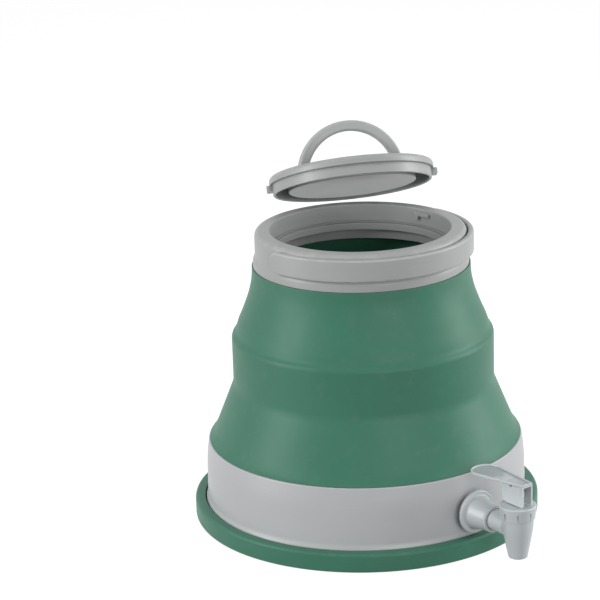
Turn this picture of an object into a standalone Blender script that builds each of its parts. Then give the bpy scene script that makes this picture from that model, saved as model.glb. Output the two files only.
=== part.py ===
# A collapsible water carrier: a grey tub on a green foot, a folding silicone body of three
# stages, a grey collar with a swinging carry handle, a bayonet lid with a folding bail that
# is lifted off and held behind the mouth, and a lever tap on the tub.
#
# Lengths are in metres and angles in radians. The origin is the middle of the foot's flat
# underside, +Z is up, the tap points about along -Y and the handle's pivots lie on the X axis.

import math

import bmesh
import bpy
from mathutils import Vector

# Clearances and steps shared by all pieces
gap = 0.0003
slide_gap = 0.0004
overrun = 0.0020
weld = 0.000001
round_steps = 52
medium_steps = 32
small_steps = 20
sharp_angle = math.radians(30)
quarter = math.radians(90)

# Foot: a shallow silicone dish under the tub
foot_height = 0.0157
foot_floor = 0.0030
foot_wall = 0.0083
foot_lower_edge = 0.0025
foot_upper_edge = 0.0040

# Tub: a grey bowl whose wall flares out over the foot
tub_shoulder_radius = 0.1290
tub_foot_flare = 0.0024
tub_waist_flare = 0.0006
tub_top_taper = 0.0020
tub_wall = 0.0025
tub_floor = 0.0030
tub_flare_height = 0.0145
tub_shoulder_drop = 0.0145
tub_flare_steps = 4

# Folding body: a fixed lower fold, a middle ring and an upper fold under the collar
silicone_wall = 0.0020
middle_wall = 0.0018
lower_fold_inset = 0.0004
lower_fold_height = 0.0442
lower_bead_depth = 0.0100
middle_ring_radius = 0.1052
middle_ring_height = 0.0398
middle_ring_edge = 0.0008
upper_fold_height = 0.0592
upper_fold_inset = 0.0002
upper_bead_depth = 0.0053
upper_bead_slope = 0.0022
# Height share and narrowing share of each fold, from its foot up
lower_fold_shares = ((0.055, 0.13), (0.15, 0.255), (0.245, 0.35), (1, 1))
upper_fold_shares = ((0, 0), (0.15, 0.10), (0.32, 0.39), (0.60, 0.785), (0.81, 0.966), (1, 1))

# Rings that hold the folding body to the tub and the collar
clamp_wall = 0.0025
clamp_depth = 0.0120
neck_height = 0.0070
neck_wall = 0.0020
neck_spigot_clearance = 0.0007

# Collar: outer wall over a wider skirt, a round rim, and the mouth with its ledge and throat
collar_radius = 0.0843
collar_height = 0.0276
collar_wall = 0.0027
skirt_step = 0.0024
skirt_height = 0.0073
skirt_wall = 0.0024
skirt_roof = 0.0020
rim_width = 0.0123
rim_roof = 0.0035
rim_crown = 0.0060
rim_edge = 0.0009
mouth_depth = 0.0151
mouth_wall = 0.0025
ledge_width = 0.0032
ledge_floor = 0.0020
throat_depth = 0.0059
throat_wall = 0.0023
# How far out and down each point of the rim's outer curve lies, as shares of the crown
rim_curve_shares = ((0, 0), (0.55, 0.20), (0.90, 0.55), (1, 1))

# Bayonet catches inside the mouth
catch_reach = 0.0026
catch_bury = 0.0010
catch_bar_length = 0.0146
catch_bar_height = 0.0035
catch_bar_drop = 0.0030
catch_stop_width = 0.0032
catch_stop_reach = 0.0027
catch_bearing = math.radians(6.6)
catch_count = 2

# Seal on the ledge of the mouth
seal_inset = 0.0003
seal_thickness = 0.0012

# Carry handle: half a ring round the collar, on two pins that end inside its wall
handle_gap = 0.0010
handle_wall = 0.0046
handle_skin = 0.0014
handle_width = 0.0174
handle_edge = 0.0008
handle_steps = 26
handle_end_inset = 0.0002
handle_pin_radius = 0.0026
handle_pin_head_radius = 0.0042
handle_pin_head_thickness = 0.0018
handle_pin_inset = 0.0004

# Lid: a flange over a skirt, with a pan for the bail in the middle
flange_gap = 0.0005
flange_thickness = 0.0070
flange_edge = 0.0020
flange_roof = 0.0025
flange_overhang = 0.0023
lid_skirt_height = 0.0086
lid_skirt_wall = 0.0022
lid_groove_width = 0.0110
pan_wall = 0.0022
pan_floor = 0.0020
pan_lift = 0.0008
pan_edge = 0.0010
pin_depth = 0.0045
lug_gap = 0.0004
lug_thickness = 0.0055
lug_width = 0.0090
lug_bury = 0.0010
lug_bearing = math.radians(-5.8)
boss_radius = 0.0043
boss_length = 0.0050
boss_bury = 0.0011

# Bail of the lid and its pins
bail_gap = 0.0012
bail_depth = 0.0088
bail_width = 0.0110
bail_edge = 0.0022
bail_steps = 22
bail_end_inset = 0.0002
bail_lean = math.radians(10)
bail_pin_radius = 0.0020
bail_pin_end = 0.0002

# Where the lifted lid is held: its way there from the seat is a swing about a level line
# behind the mouth, while the lid turns about its bail pins to come level again
lid_rest_back = 0.1020
lid_rest_rise = 0.0223
swing_axis_rise = 0.0040
swing_bearing = math.radians(-40)
pin_skew = math.radians(-6.234)
lid_level_turn = math.radians(140.77)

# Tap: sleeve through the tub's wall, a little to the left of straight ahead
tap_turn = math.radians(-5)
tap_flange_radius = 0.0171
tap_flange_lift = 0.0026
tap_flange_thickness = 0.0024
tap_flange_edge = 0.0006
sleeve_foot_inset = 0.0035
tap_stand_off = 0.0034
sleeve_wall = 0.0020
sleeve_length = 0.0190
sleeve_ring_reach = 0.0006
sleeve_ring_width = 0.0018
socket_depth = 0.0120
shank_radius = 0.0095
shank_length = 0.0195

# Tap: gasket outside the wall, washer and nut inside it
gasket_width = 0.0032
washer_width = 0.0047
washer_thickness = 0.0030
nut_radius = 0.0156
nut_thickness = 0.0055
nut_sides = 6
nut_clearance = 0.0015

# Tap: body with its outlet, and the cap that closes it
barrel_offset = 0.0476
tube_radius = 0.0080
tube_wall = 0.0020
barrel_radius = 0.0122
barrel_neck_step = 0.0006
barrel_neck_wall = 0.0034
outlet_radius = 0.0074
outlet_wall = 0.0022
outlet_drop = 0.0224
barrel_rise = 0.0092
barrel_neck_rise = 0.0168
barrel_taper_rise = 0.0034
chamber_drop = 0.0070
chamber_cone = 0.0012
bonnet_wall = 0.0024
bonnet_roof = 0.0033
bonnet_edge = 0.0008
bonnet_taper = 0.0011

# Tap: seat, stem and lever
seat_play = 0.0006
seat_tip_inset = 0.0018
seat_height = 0.0048
seat_chamfer = 0.0016
seat_socket_depth = 0.0025
stem_radius = 0.0032
stem_eye_radius = 0.0044
stem_eye_width = 0.0068
lever_pivot_rise = 0.0074
lever_pin_radius = 0.0016
lever_play = 0.0003
lever_skin = 0.0006
lever_pin_end = 0.0002
lever_wall = 0.0015
lever_box_back = 0.0113
lever_box_front = 0.0107
lever_box_above = 0.0094
lever_box_roof = 0.0005
lever_lift = 0.0010
paddle_gap = 0.0065
paddle_radius = 0.0125
paddle_thickness = 0.0020
paddle_lip = 0.0010
paddle_recess = 0.0008
paddle_steps = 12

# Radii that follow from the tub's, the middle ring's and the collar's
tub_foot_radius = tub_shoulder_radius + tub_foot_flare
tub_waist_radius = tub_shoulder_radius + tub_waist_flare
tub_top_radius = tub_shoulder_radius - tub_top_taper
tub_bore = tub_top_radius - tub_wall
foot_radius = tub_foot_radius + gap + foot_wall
lower_fold_radius = tub_top_radius - lower_fold_inset
lower_fold_top_radius = middle_ring_radius + slide_gap + silicone_wall
upper_fold_radius = middle_ring_radius - middle_wall - slide_gap
skirt_radius = collar_radius + skirt_step
upper_fold_top_radius = skirt_radius - upper_fold_inset
mouth_radius = collar_radius - rim_width
throat_radius = mouth_radius - ledge_width
neck_radius = mouth_radius + mouth_wall
catch_radius = mouth_radius - catch_reach
handle_radius = collar_radius + handle_gap + handle_wall
flange_radius = catch_radius - flange_gap
lid_skirt_radius = flange_radius - flange_overhang
pan_radius = lid_skirt_radius - lid_skirt_wall - lid_groove_width
bail_radius = pan_radius - pan_wall - boss_length - bail_gap

# Heights that follow, from the ground up
inlet_height = foot_height + tap_flange_lift + tap_flange_radius
tub_height = inlet_height + nut_radius + nut_clearance + clamp_depth
tub_waist_height = foot_height + tub_flare_height
tub_shoulder_height = tub_height - tub_shoulder_drop
tub_bottom = foot_floor + gap
lower_fold_bottom = tub_height + gap
lower_fold_top = lower_fold_bottom + lower_fold_height
middle_bottom = lower_fold_top + gap
middle_top = middle_bottom + middle_ring_height
upper_fold_bottom = middle_top + gap
upper_fold_top = upper_fold_bottom + upper_fold_height
collar_bottom = upper_fold_top + gap
skirt_top = collar_bottom + skirt_height
rim_top = collar_bottom + collar_height
ledge_top = rim_top - mouth_depth
handle_bottom = skirt_top + slide_gap
handle_pivot_height = handle_bottom + handle_width / 2
seal_top = ledge_top + gap + seal_thickness
lid_seat_flange = rim_top - catch_bar_drop - catch_bar_height - gap
lid_seat_pins = lid_seat_flange + flange_thickness - pin_depth

# The swing's line lies as far from the seated pins as from the pins of the lifted lid
swing_axis_back = (
    lid_rest_back**2 + lid_rest_rise**2 - 2 * swing_axis_rise * lid_rest_rise
) / (2 * lid_rest_back)
lid_swing = (
    math.pi
    + math.atan2(swing_axis_rise, swing_axis_back)
    - math.atan2(lid_rest_rise - swing_axis_rise, lid_rest_back - swing_axis_back)
)

# Tap sizes and places that follow, along its inlet and up its barrel
tap_wall = tub_foot_radius + tap_stand_off
tap_reach = tap_wall + barrel_offset
sleeve_end = tap_wall + tap_flange_thickness + sleeve_length
sleeve_radius = tube_radius + gap + sleeve_wall
sleeve_ring_radius = sleeve_radius + sleeve_ring_reach
inlet_bore = tube_radius - tube_wall
sleeve_foot_radius = tap_flange_radius - sleeve_foot_inset
barrel_neck_radius = barrel_radius - barrel_neck_step
chamber_radius = barrel_neck_radius - barrel_neck_wall
outlet_bore = outlet_radius - outlet_wall
bonnet_radius = barrel_neck_radius + gap + bonnet_wall
seat_radius = chamber_radius - seat_play
seat_tip_radius = seat_radius - seat_tip_inset
chamber_floor = inlet_height - chamber_drop
bonnet_top = inlet_height + barrel_neck_rise + gap + bonnet_roof
lever_pivot_height = bonnet_top + lever_pivot_rise
lever_width = stem_eye_width + 2 * (lever_play + lever_wall)
paddle_reach = tap_reach - tub_shoulder_radius - paddle_gap


def clear_scene():
    """Remove every object, so that the part is alone in the scene."""
    for thing in list(bpy.data.objects):
        bpy.data.objects.remove(thing)


def look(name, colour, roughness):
    """A plain non-metallic material."""
    material = bpy.data.materials.new(name)
    material.use_nodes = True
    shader = material.node_tree.nodes["Principled BSDF"]
    shader.inputs["Base Color"].default_value = (*colour, 1)
    shader.inputs["Roughness"].default_value = roughness
    shader.inputs["Metallic"].default_value = 0
    return material


def placed(thing, parent=None, location=(0, 0, 0), rotation=(0, 0, 0)):
    """Put an object in its parent's frame and return it."""
    thing.parent = parent
    thing.location = location
    thing.rotation_euler = rotation
    return thing


def frame(name, parent=None, location=(0, 0, 0), rotation=(0, 0, 0)):
    """An empty that carries a group of pieces."""
    thing = bpy.data.objects.new(name, None)
    bpy.context.collection.objects.link(thing)
    return placed(thing, parent, location, rotation)


def finished(name, mesh, material):
    """Turn a bmesh into a smooth shaded object of the scene."""
    bmesh.ops.remove_doubles(mesh, verts=mesh.verts, dist=weld)
    bmesh.ops.recalc_face_normals(mesh, faces=mesh.faces)
    data = bpy.data.meshes.new(name)
    mesh.to_mesh(data)
    mesh.free()
    data.shade_smooth()
    data.set_sharp_from_angle(angle=sharp_angle)
    if material:
        data.materials.append(material)
    thing = bpy.data.objects.new(name, data)
    bpy.context.collection.objects.link(thing)
    return thing


def turned(name, outline, material=None, steps=round_steps, start=0, span=math.tau):
    """A body turned about its own Z axis from a closed outline of (radius, height)."""
    mesh = bmesh.new()
    points = [
        mesh.verts.new((radius * math.cos(start), radius * math.sin(start), height))
        for radius, height in outline
    ]
    radii = [radius for radius, _ in outline]
    edges = [
        mesh.edges.new((points[here - 1], points[here]))
        for here in range(len(points))
        if radii[here - 1] or radii[here]
    ]
    whole = span == math.tau
    bmesh.ops.spin(
        mesh, geom=points + edges, cent=(0, 0, 0), axis=(0, 0, 1),
        angle=span, steps=steps, use_merge=whole,
    )
    bmesh.ops.remove_doubles(mesh, verts=mesh.verts, dist=weld)
    if not whole:
        bmesh.ops.holes_fill(mesh, edges=mesh.edges, sides=len(outline))
    return finished(name, mesh, material)


def rod(name, radius, low, high, material=None, steps=small_steps):
    """A straight round rod on its own Z axis."""
    outline = [(0, low), (radius, low), (radius, high), (0, high)]
    return turned(name, outline, material, steps)


def prism(name, outline, low, high, material=None):
    """A flat outline of (x, y) raised from one height to another."""
    mesh = bmesh.new()
    face = mesh.faces.new([mesh.verts.new((x, y, low)) for x, y in outline])
    made = bmesh.ops.extrude_face_region(mesh, geom=[face])
    raised = [item for item in made["geom"] if isinstance(item, bmesh.types.BMVert)]
    bmesh.ops.translate(mesh, verts=raised, vec=Vector((0, 0, high - low)))
    return finished(name, mesh, material)


def shaped(target, tool, operation):
    """Join, cut or limit a piece by a tool body, which is then hidden."""
    tool.hide_render = True
    tool.display_type = "WIRE"
    change = target.modifiers.new(tool.name, "BOOLEAN")
    change.object = tool
    change.operation = operation
    change.solver = "EXACT"
    return target


def arc(centre, radius, start, end, steps):
    """Points on a round corner of an outline, both ends included."""
    return [
        (
            centre[0] + radius * math.cos(start + (end - start) * step / steps),
            centre[1] + radius * math.sin(start + (end - start) * step / steps),
        )
        for step in range(steps + 1)
    ]


def round_block(low_x, high_x, low_y, high_y, edge):
    """A rectangle with cut corners."""
    return [
        (low_x + edge, low_y), (high_x - edge, low_y), (high_x, low_y + edge),
        (high_x, high_y - edge), (high_x - edge, high_y), (low_x + edge, high_y),
        (low_x, high_y - edge), (low_x, low_y + edge),
    ]


def fold_outline(shares, bottom_radius, top_radius, bottom, top):
    """Outer points of a fold that narrows from its foot to its head."""
    return [
        (
            bottom_radius - narrowing * (bottom_radius - top_radius),
            bottom + climb * (top - bottom),
        )
        for climb, narrowing in shares
    ]


def inwards(outline, wall):
    """The same points moved in by the wall, in the opposite order."""
    return [(radius - wall, height) for radius, height in reversed(outline)]


def tub_outer_outline():
    """Outside of the tub's wall, from the foot's top to the tub's top."""
    flare = []
    for step in range(tub_flare_steps + 1):
        share = step / tub_flare_steps
        narrowing = share * share * (3 - 2 * share)
        flare.append((
            tub_foot_radius - narrowing * (tub_foot_radius - tub_waist_radius),
            foot_height + share * (tub_waist_height - foot_height),
        ))
    shoulder = (tub_shoulder_radius, tub_shoulder_height)
    return flare + [shoulder, (tub_top_radius, tub_height)]


def make_foot(rubber):
    """The dish that the tub stands in."""
    bottom_corner = (foot_radius - foot_lower_edge, foot_lower_edge)
    top_corner = (foot_radius - foot_upper_edge, foot_height - foot_upper_edge)
    tub_seat = tub_foot_radius + gap
    outline = [(0, 0)]
    outline += arc(bottom_corner, foot_lower_edge, -quarter, 0, 2)
    outline += arc(top_corner, foot_upper_edge, 0, quarter, 3)
    outline += [(tub_seat, foot_height), (tub_seat, foot_floor), (0, foot_floor)]
    return turned("base_foot", outline, rubber)


def make_tub(plastic, tap_frame):
    """The bowl of the base, with the hole for the tap's shank."""
    outer = tub_outer_outline()
    inner = inwards(outer, tub_wall)
    floor_top = tub_bottom + tub_floor
    outline = [(0, tub_bottom), (tub_foot_radius, tub_bottom)]
    outline += outer + inner
    outline += [(tub_foot_radius - tub_wall, floor_top), (0, floor_top)]
    tub = turned("base_tub", outline, plastic)
    hole = rod("tap_hole_cutter", shank_radius + gap, tap_wall - shank_length, tap_wall)
    return shaped(tub, placed(hole, tap_frame), "DIFFERENCE")


def make_base_clamp(plastic):
    """The ring that presses the lower fold's bead against the tub's wall."""
    outer = tub_bore - gap - silicone_wall - gap
    outline = [
        (outer, tub_height), (outer, tub_height - clamp_depth),
        (outer - clamp_wall, tub_height - clamp_depth), (outer - clamp_wall, tub_height),
    ]
    return turned("base_clamp_ring", outline, plastic)


def make_lower_fold(rubber):
    """The widest stage of the folding body, held in the tub."""
    bead = tub_bore - gap
    foot = (lower_fold_radius, lower_fold_bottom)
    outer = fold_outline(
        lower_fold_shares, lower_fold_radius, lower_fold_top_radius,
        lower_fold_bottom, lower_fold_top,
    )
    inner = inwards(outer, silicone_wall)
    bead_bottom = tub_height - lower_bead_depth
    outline = [(bead, bead_bottom), (bead, lower_fold_bottom), foot] + outer + inner
    outline += [(bead - silicone_wall, lower_fold_bottom), (bead - silicone_wall, bead_bottom)]
    return turned("bellows_lower_fold", outline, rubber)


def make_middle_ring(rubber):
    """The straight stage between the two folds."""
    inner = middle_ring_radius - middle_wall
    outline = [
        (middle_ring_radius, middle_bottom), (middle_ring_radius, middle_top - middle_ring_edge),
        (middle_ring_radius - middle_ring_edge, middle_top), (inner, middle_top),
        (inner, middle_bottom),
    ]
    return turned("bellows_middle_ring", outline, rubber)


def make_upper_fold(rubber):
    """The narrowest stage, whose bead is held in the collar's skirt."""
    outer = fold_outline(
        upper_fold_shares, upper_fold_radius, upper_fold_top_radius,
        upper_fold_bottom, upper_fold_top,
    )
    inner = inwards(outer[:-1], silicone_wall)
    bead = skirt_radius - skirt_wall - gap
    bead_top = upper_fold_top + upper_bead_depth
    outline = outer + [
        (bead, upper_fold_top), (bead, bead_top), (bead - silicone_wall, bead_top),
        (bead - silicone_wall, upper_fold_top - silicone_wall),
        (upper_fold_top_radius - silicone_wall, upper_fold_top - silicone_wall - upper_bead_slope),
    ]
    return turned("bellows_upper_fold", outline + inner, rubber)


def make_neck_ring(plastic):
    """The ring under the collar that holds the upper fold's bead from inside."""
    outer = skirt_radius - skirt_wall - gap - silicone_wall - gap
    top = skirt_top - skirt_roof - gap
    spigot = collar_radius - collar_wall - gap
    spigot_top = handle_pivot_height - handle_pin_head_radius - neck_spigot_clearance
    outline = [
        (outer, top), (outer, top - neck_height), (outer - neck_wall, top - neck_height),
        (outer - neck_wall, top - neck_wall), (neck_radius + neck_wall, top - neck_wall),
        (neck_radius + neck_wall, top - neck_height), (neck_radius, top - neck_height),
        (neck_radius, top), (spigot - neck_wall, top), (spigot - neck_wall, spigot_top),
        (spigot, spigot_top), (spigot, top),
    ]
    return turned("neck_clamp_ring", outline, plastic)


def collar_outline():
    """The collar's section: skirt, outer wall, rim, mouth, ledge and throat."""
    crown_radius = collar_radius - rim_crown
    rim = [
        (crown_radius + out * rim_crown, rim_top - down * rim_crown)
        for out, down in rim_curve_shares
    ]
    skirt = [
        (collar_radius, skirt_top), (skirt_radius - rim_edge, skirt_top),
        (skirt_radius, skirt_top - rim_edge), (skirt_radius, collar_bottom),
        (skirt_radius - skirt_wall, collar_bottom),
        (skirt_radius - skirt_wall, skirt_top - skirt_roof),
        (collar_radius - collar_wall, skirt_top - skirt_roof),
    ]
    channel = [
        (collar_radius - collar_wall, rim_top - rim_roof),
        (mouth_radius + mouth_wall, rim_top - rim_roof),
        (mouth_radius + mouth_wall, ledge_top - ledge_floor),
    ]
    throat = [
        (throat_radius + throat_wall, ledge_top - ledge_floor),
        (throat_radius + throat_wall, ledge_top - throat_depth),
        (throat_radius, ledge_top - throat_depth), (throat_radius, ledge_top),
    ]
    mouth = [
        (mouth_radius, ledge_top), (mouth_radius, rim_top - rim_edge),
        (mouth_radius + rim_edge, rim_top),
    ]
    return rim + skirt + channel + throat + mouth


def make_catches(collar, collar_frame):
    """Two hooks inside the mouth, each a bar with a stop at its end."""
    bar_top = rim_top - catch_bar_drop
    bar_span = catch_bar_length / catch_radius
    stop_span = catch_stop_width / catch_radius
    for number in range(catch_count):
        end = catch_bearing + number * math.tau / catch_count
        parts = (
            ("bar", bar_top - catch_bar_height, bar_span, 4),
            ("stop", bar_top - catch_bar_height - catch_stop_reach, stop_span, 1),
        )
        for kind, low, span, steps in parts:
            outline = [
                (catch_radius, low), (mouth_radius + catch_bury, low),
                (mouth_radius + catch_bury, bar_top), (catch_radius, bar_top),
            ]
            tool = turned(f"catch_{kind}_{number}", outline, None, steps, end - span, span)
            shaped(collar, placed(tool, collar_frame), "UNION")


def make_collar(plastic, collar_frame):
    """The collar in one moulding, with its catches and the holes of the handle's pins."""
    collar = turned("collar", collar_outline(), plastic)
    make_catches(collar, collar_frame)
    for side, turn in (("left", -quarter), ("right", quarter)):
        hole = rod(
            f"collar_hole_{side}", handle_pin_radius + gap, mouth_radius + mouth_wall + overrun,
            collar_radius + overrun,
        )
        placed(hole, collar_frame, (0, 0, handle_pivot_height), (0, turn, 0))
        shaped(collar, hole, "DIFFERENCE")
    return collar


def make_mouth_seal(rubber):
    """The flat seal that lies on the ledge under the lid's lugs."""
    outer = mouth_radius - seal_inset
    inner = throat_radius + seal_inset
    low = ledge_top + gap
    outline = [(outer, seal_top), (outer, low), (inner, low), (inner, seal_top)]
    return turned("mouth_seal", outline, rubber)


def make_handle(plastic, handle_frame):
    """Half a ring with round ends; its frame lies on the pivots' line."""
    half = handle_width / 2
    inner = handle_radius - handle_wall
    outline = round_block(inner, handle_radius, -half, half, handle_edge)
    handle = turned("carry_handle", outline, plastic, handle_steps, math.pi, math.pi)
    for side, turn in (("left", -quarter), ("right", quarter)):
        end = rod(
            f"handle_end_{side}", half, inner + handle_end_inset,
            handle_radius - handle_end_inset, None, medium_steps,
        )
        placed(end, handle_frame, rotation=(0, turn, 0))
        shaped(handle, end, "UNION")
    for side, turn in (("left", -quarter), ("right", quarter)):
        hole = rod(
            f"handle_hole_{side}", handle_pin_radius + gap, inner - overrun,
            handle_radius - handle_skin,
        )
        placed(hole, handle_frame, rotation=(0, turn, 0))
        shaped(handle, hole, "DIFFERENCE")
    return handle


def make_handle_pin(side, plastic):
    """A headed pin pushed out through the collar's wall into the handle's end."""
    wall = collar_radius - collar_wall
    end = handle_radius - handle_skin - handle_pin_inset
    head_top = wall - handle_pin_inset
    head_bottom = head_top - handle_pin_head_thickness
    outline = [
        (0, head_bottom), (handle_pin_head_radius, head_bottom),
        (handle_pin_head_radius, head_top), (handle_pin_radius, head_top),
        (handle_pin_radius, end), (0, end),
    ]
    return turned(f"handle_pin_{side}", outline, plastic, small_steps)


def lid_outline():
    """The lid's section, with heights counted from the line of its bail pins."""
    top = pin_depth
    flange_bottom = top - flange_thickness
    skirt_bottom = flange_bottom - lid_skirt_height
    pan_bottom = skirt_bottom + pan_lift
    pan_inner = pan_radius - pan_wall
    pan = [
        (0, pan_bottom + pan_floor), (pan_inner - pan_edge, pan_bottom + pan_floor),
        (pan_inner, pan_bottom + pan_floor + pan_edge), (pan_inner, top - pan_edge),
        (pan_inner + pan_edge, top),
    ]
    flange = [
        (flange_radius - 2 * flange_edge, top), (flange_radius - flange_edge / 2, top - flange_edge),
        (flange_radius, top - 2 * flange_edge), (flange_radius, flange_bottom + flange_edge / 2),
        (flange_radius - flange_edge / 2, flange_bottom), (lid_skirt_radius, flange_bottom),
    ]
    skirt = [
        (lid_skirt_radius, skirt_bottom), (lid_skirt_radius - lid_skirt_wall, skirt_bottom),
        (lid_skirt_radius - lid_skirt_wall, top - flange_roof),
    ]
    groove = [
        (pan_radius, top - flange_roof), (pan_radius, pan_bottom + pan_edge),
        (pan_radius - pan_edge, pan_bottom), (0, pan_bottom),
    ]
    return pan + flange + skirt + groove


def make_lid(plastic, lid_frame):
    """The lid with its two bayonet lugs and the bosses of its bail pins."""
    lid = turned("lid", lid_outline(), plastic)
    lug_radius = mouth_radius - lug_gap
    flange_bottom = pin_depth - flange_thickness
    span = lug_width / lug_radius
    for number in range(catch_count):
        middle = lug_bearing + number * math.tau / catch_count
        outline = [
            (lid_skirt_radius - lug_bury, flange_bottom - lug_thickness),
            (lug_radius, flange_bottom - lug_thickness), (lug_radius, flange_bottom),
            (flange_radius - flange_edge, flange_bottom),
            (flange_radius - flange_edge, flange_bottom + lug_bury),
            (lid_skirt_radius - lug_bury, flange_bottom + lug_bury),
        ]
        tool = turned(f"lid_lug_{number}", outline, None, 3, middle - span / 2, span)
        shaped(lid, placed(tool, lid_frame), "UNION")
    pan_inner = pan_radius - pan_wall
    for side, turn in (("left", -quarter), ("right", quarter)):
        boss = rod(
            f"lid_boss_{side}", boss_radius, pan_inner - boss_length, pan_inner + boss_bury
        )
        shaped(lid, placed(boss, lid_frame, rotation=(0, turn, 0)), "UNION")
        hole = rod(
            f"lid_hole_{side}", bail_pin_radius + gap, pan_inner - boss_length - overrun,
            pan_inner + boss_bury,
        )
        shaped(lid, placed(hole, lid_frame, rotation=(0, turn, 0)), "DIFFERENCE")
    return lid


def make_bail(plastic, bail_frame):
    """The lid's grip: half a ring that stands on the pins' line."""
    half = bail_width / 2
    inner = bail_radius - bail_depth
    outline = round_block(inner, bail_radius, -half, half, bail_edge)
    bail = turned("lid_bail", outline, plastic, bail_steps, 0, math.pi)
    for side, turn in (("left", -quarter), ("right", quarter)):
        end = rod(
            f"bail_end_{side}", half, inner + bail_end_inset, bail_radius - bail_end_inset,
            None, medium_steps,
        )
        placed(end, bail_frame, rotation=(0, turn, 0))
        shaped(bail, end, "UNION")
    for side, turn in (("left", -quarter), ("right", quarter)):
        hole = rod(
            f"bail_hole_{side}", bail_pin_radius + gap, inner - overrun, bail_radius + overrun
        )
        placed(hole, bail_frame, rotation=(0, turn, 0))
        shaped(bail, hole, "DIFFERENCE")
    return bail


def make_sleeve(plastic):
    """The flanged bush that passes through the tub's wall, along the tap's inlet."""
    face = tap_wall + tap_flange_thickness
    outline = [
        (inlet_bore, tap_wall - shank_length), (shank_radius, tap_wall - shank_length),
        (shank_radius, tap_wall), (tap_flange_radius, tap_wall),
        (tap_flange_radius, face - tap_flange_edge), (tap_flange_radius - tap_flange_edge, face),
        (sleeve_foot_radius, face), (sleeve_radius, sleeve_end - sleeve_ring_width),
        (sleeve_ring_radius, sleeve_end - sleeve_ring_width), (sleeve_ring_radius, sleeve_end),
        (tube_radius + gap, sleeve_end), (tube_radius + gap, sleeve_end - socket_depth),
        (inlet_bore, sleeve_end - socket_depth),
    ]
    return turned("tap_sleeve", outline, plastic, medium_steps)


def tap_ring(name, width, low, high, material):
    """A ring on the tap's shank."""
    bore = shank_radius + gap
    outline = [(bore, low), (bore + width, low), (bore + width, high), (bore, high)]
    return turned(name, outline, material, medium_steps)


def make_gasket(rubber):
    """The seal between the tap's flange and the tub, shaped to the tub's flare."""
    low = tub_shoulder_radius - tub_wall
    gasket = tap_ring("tap_gasket", gasket_width, low, tap_wall - gap, rubber)
    outer = [(radius + gap, height) for radius, height in tub_outer_outline()]
    outline = [(0, tub_bottom), (tub_foot_radius + gap, tub_bottom)] + outer + [(0, tub_height)]
    return shaped(gasket, turned("gasket_cutter", outline), "DIFFERENCE")


def washer_inner_face():
    """Where the washer's flat side lies, from the tub's axis."""
    return tub_shoulder_radius - tub_wall - gap - washer_thickness


def make_washer(rubber):
    """The washer inside the tub, shaped to the wall."""
    inner = [(radius - tub_wall - gap, height) for radius, height in tub_outer_outline()]
    washer = tap_ring("tap_washer", washer_width, washer_inner_face(), tap_wall, rubber)
    outline = [(0, tub_bottom), (inner[0][0], tub_bottom)] + inner + [(0, tub_height)]
    return shaped(washer, turned("washer_limit", outline), "INTERSECT")


def make_nut(plastic):
    """The nut that draws the tap's flange against the tub."""
    high = washer_inner_face() - gap
    nut = rod("tap_nut", nut_radius, high - nut_thickness, high, plastic, nut_sides)
    return nut, high


def make_tap_body(plastic, tap_frame, barrel_frame):
    """The barrel with its outlet, and the tube that plugs into the sleeve."""
    low = inlet_height - outlet_drop
    shoulder = inlet_height + barrel_rise
    neck_top = inlet_height + barrel_neck_rise
    outline = [
        (0, low), (outlet_radius, low), (barrel_radius, inlet_height + barrel_taper_rise),
        (barrel_radius, shoulder), (barrel_neck_radius, shoulder), (barrel_neck_radius, neck_top),
        (0, neck_top),
    ]
    body = turned("tap_body", outline, plastic, medium_steps)
    tube_start = sleeve_end - socket_depth + gap
    tube = rod("tap_tube", tube_radius, tube_start, tap_reach, None, medium_steps)
    shaped(body, placed(tube, tap_frame), "UNION")
    chamber = [
        (0, low - overrun), (outlet_bore, low - overrun), (outlet_bore, chamber_floor - chamber_cone),
        (chamber_radius, chamber_floor), (chamber_radius, neck_top + overrun),
        (0, neck_top + overrun),
    ]
    cutter = turned("tap_chamber_cutter", chamber, None, medium_steps)
    shaped(body, placed(cutter, barrel_frame), "DIFFERENCE")
    bore = rod("tap_bore_cutter", inlet_bore, tube_start - overrun, tap_reach)
    return shaped(body, placed(bore, tap_frame), "DIFFERENCE")


def make_bonnet(plastic):
    """The cap that closes the barrel and guides the stem."""
    low = inlet_height + barrel_rise + gap
    roof = inlet_height + barrel_neck_rise + gap
    outline = [
        (bonnet_radius - bonnet_taper, low), (bonnet_radius, bonnet_top - bonnet_edge),
        (bonnet_radius - bonnet_edge, bonnet_top), (stem_radius + slide_gap, bonnet_top),
        (stem_radius + slide_gap, roof), (barrel_neck_radius + gap, roof),
        (barrel_neck_radius + gap, low),
    ]
    return turned("tap_bonnet", outline, plastic, medium_steps)


def make_seat(rubber):
    """The soft plunger that closes the outlet, with a socket for the stem."""
    low = chamber_floor + gap
    high = low + seat_height
    socket = stem_radius + gap
    outline = [
        (0, low), (seat_tip_radius, low), (seat_radius, low + seat_chamfer), (seat_radius, high),
        (socket, high), (socket, high - seat_socket_depth), (0, high - seat_socket_depth),
    ]
    return turned("tap_seat", outline, rubber, small_steps)


def make_stem(plastic, barrel_frame):
    """The stem from the plunger to the lever's pin."""
    low = chamber_floor + gap + seat_height - seat_socket_depth + gap
    stem = rod("tap_stem", stem_radius, low, lever_pivot_height, plastic)
    half = stem_eye_width / 2
    eye = rod("stem_eye", stem_eye_radius, -half, half)
    placed(eye, barrel_frame, (0, 0, lever_pivot_height), (0, quarter, 0))
    shaped(stem, eye, "UNION")
    hole = rod("stem_hole", lever_pin_radius + gap, -half - overrun, half + overrun)
    placed(hole, barrel_frame, (0, 0, lever_pivot_height), (0, quarter, 0))
    return shaped(stem, hole, "DIFFERENCE")


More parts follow.
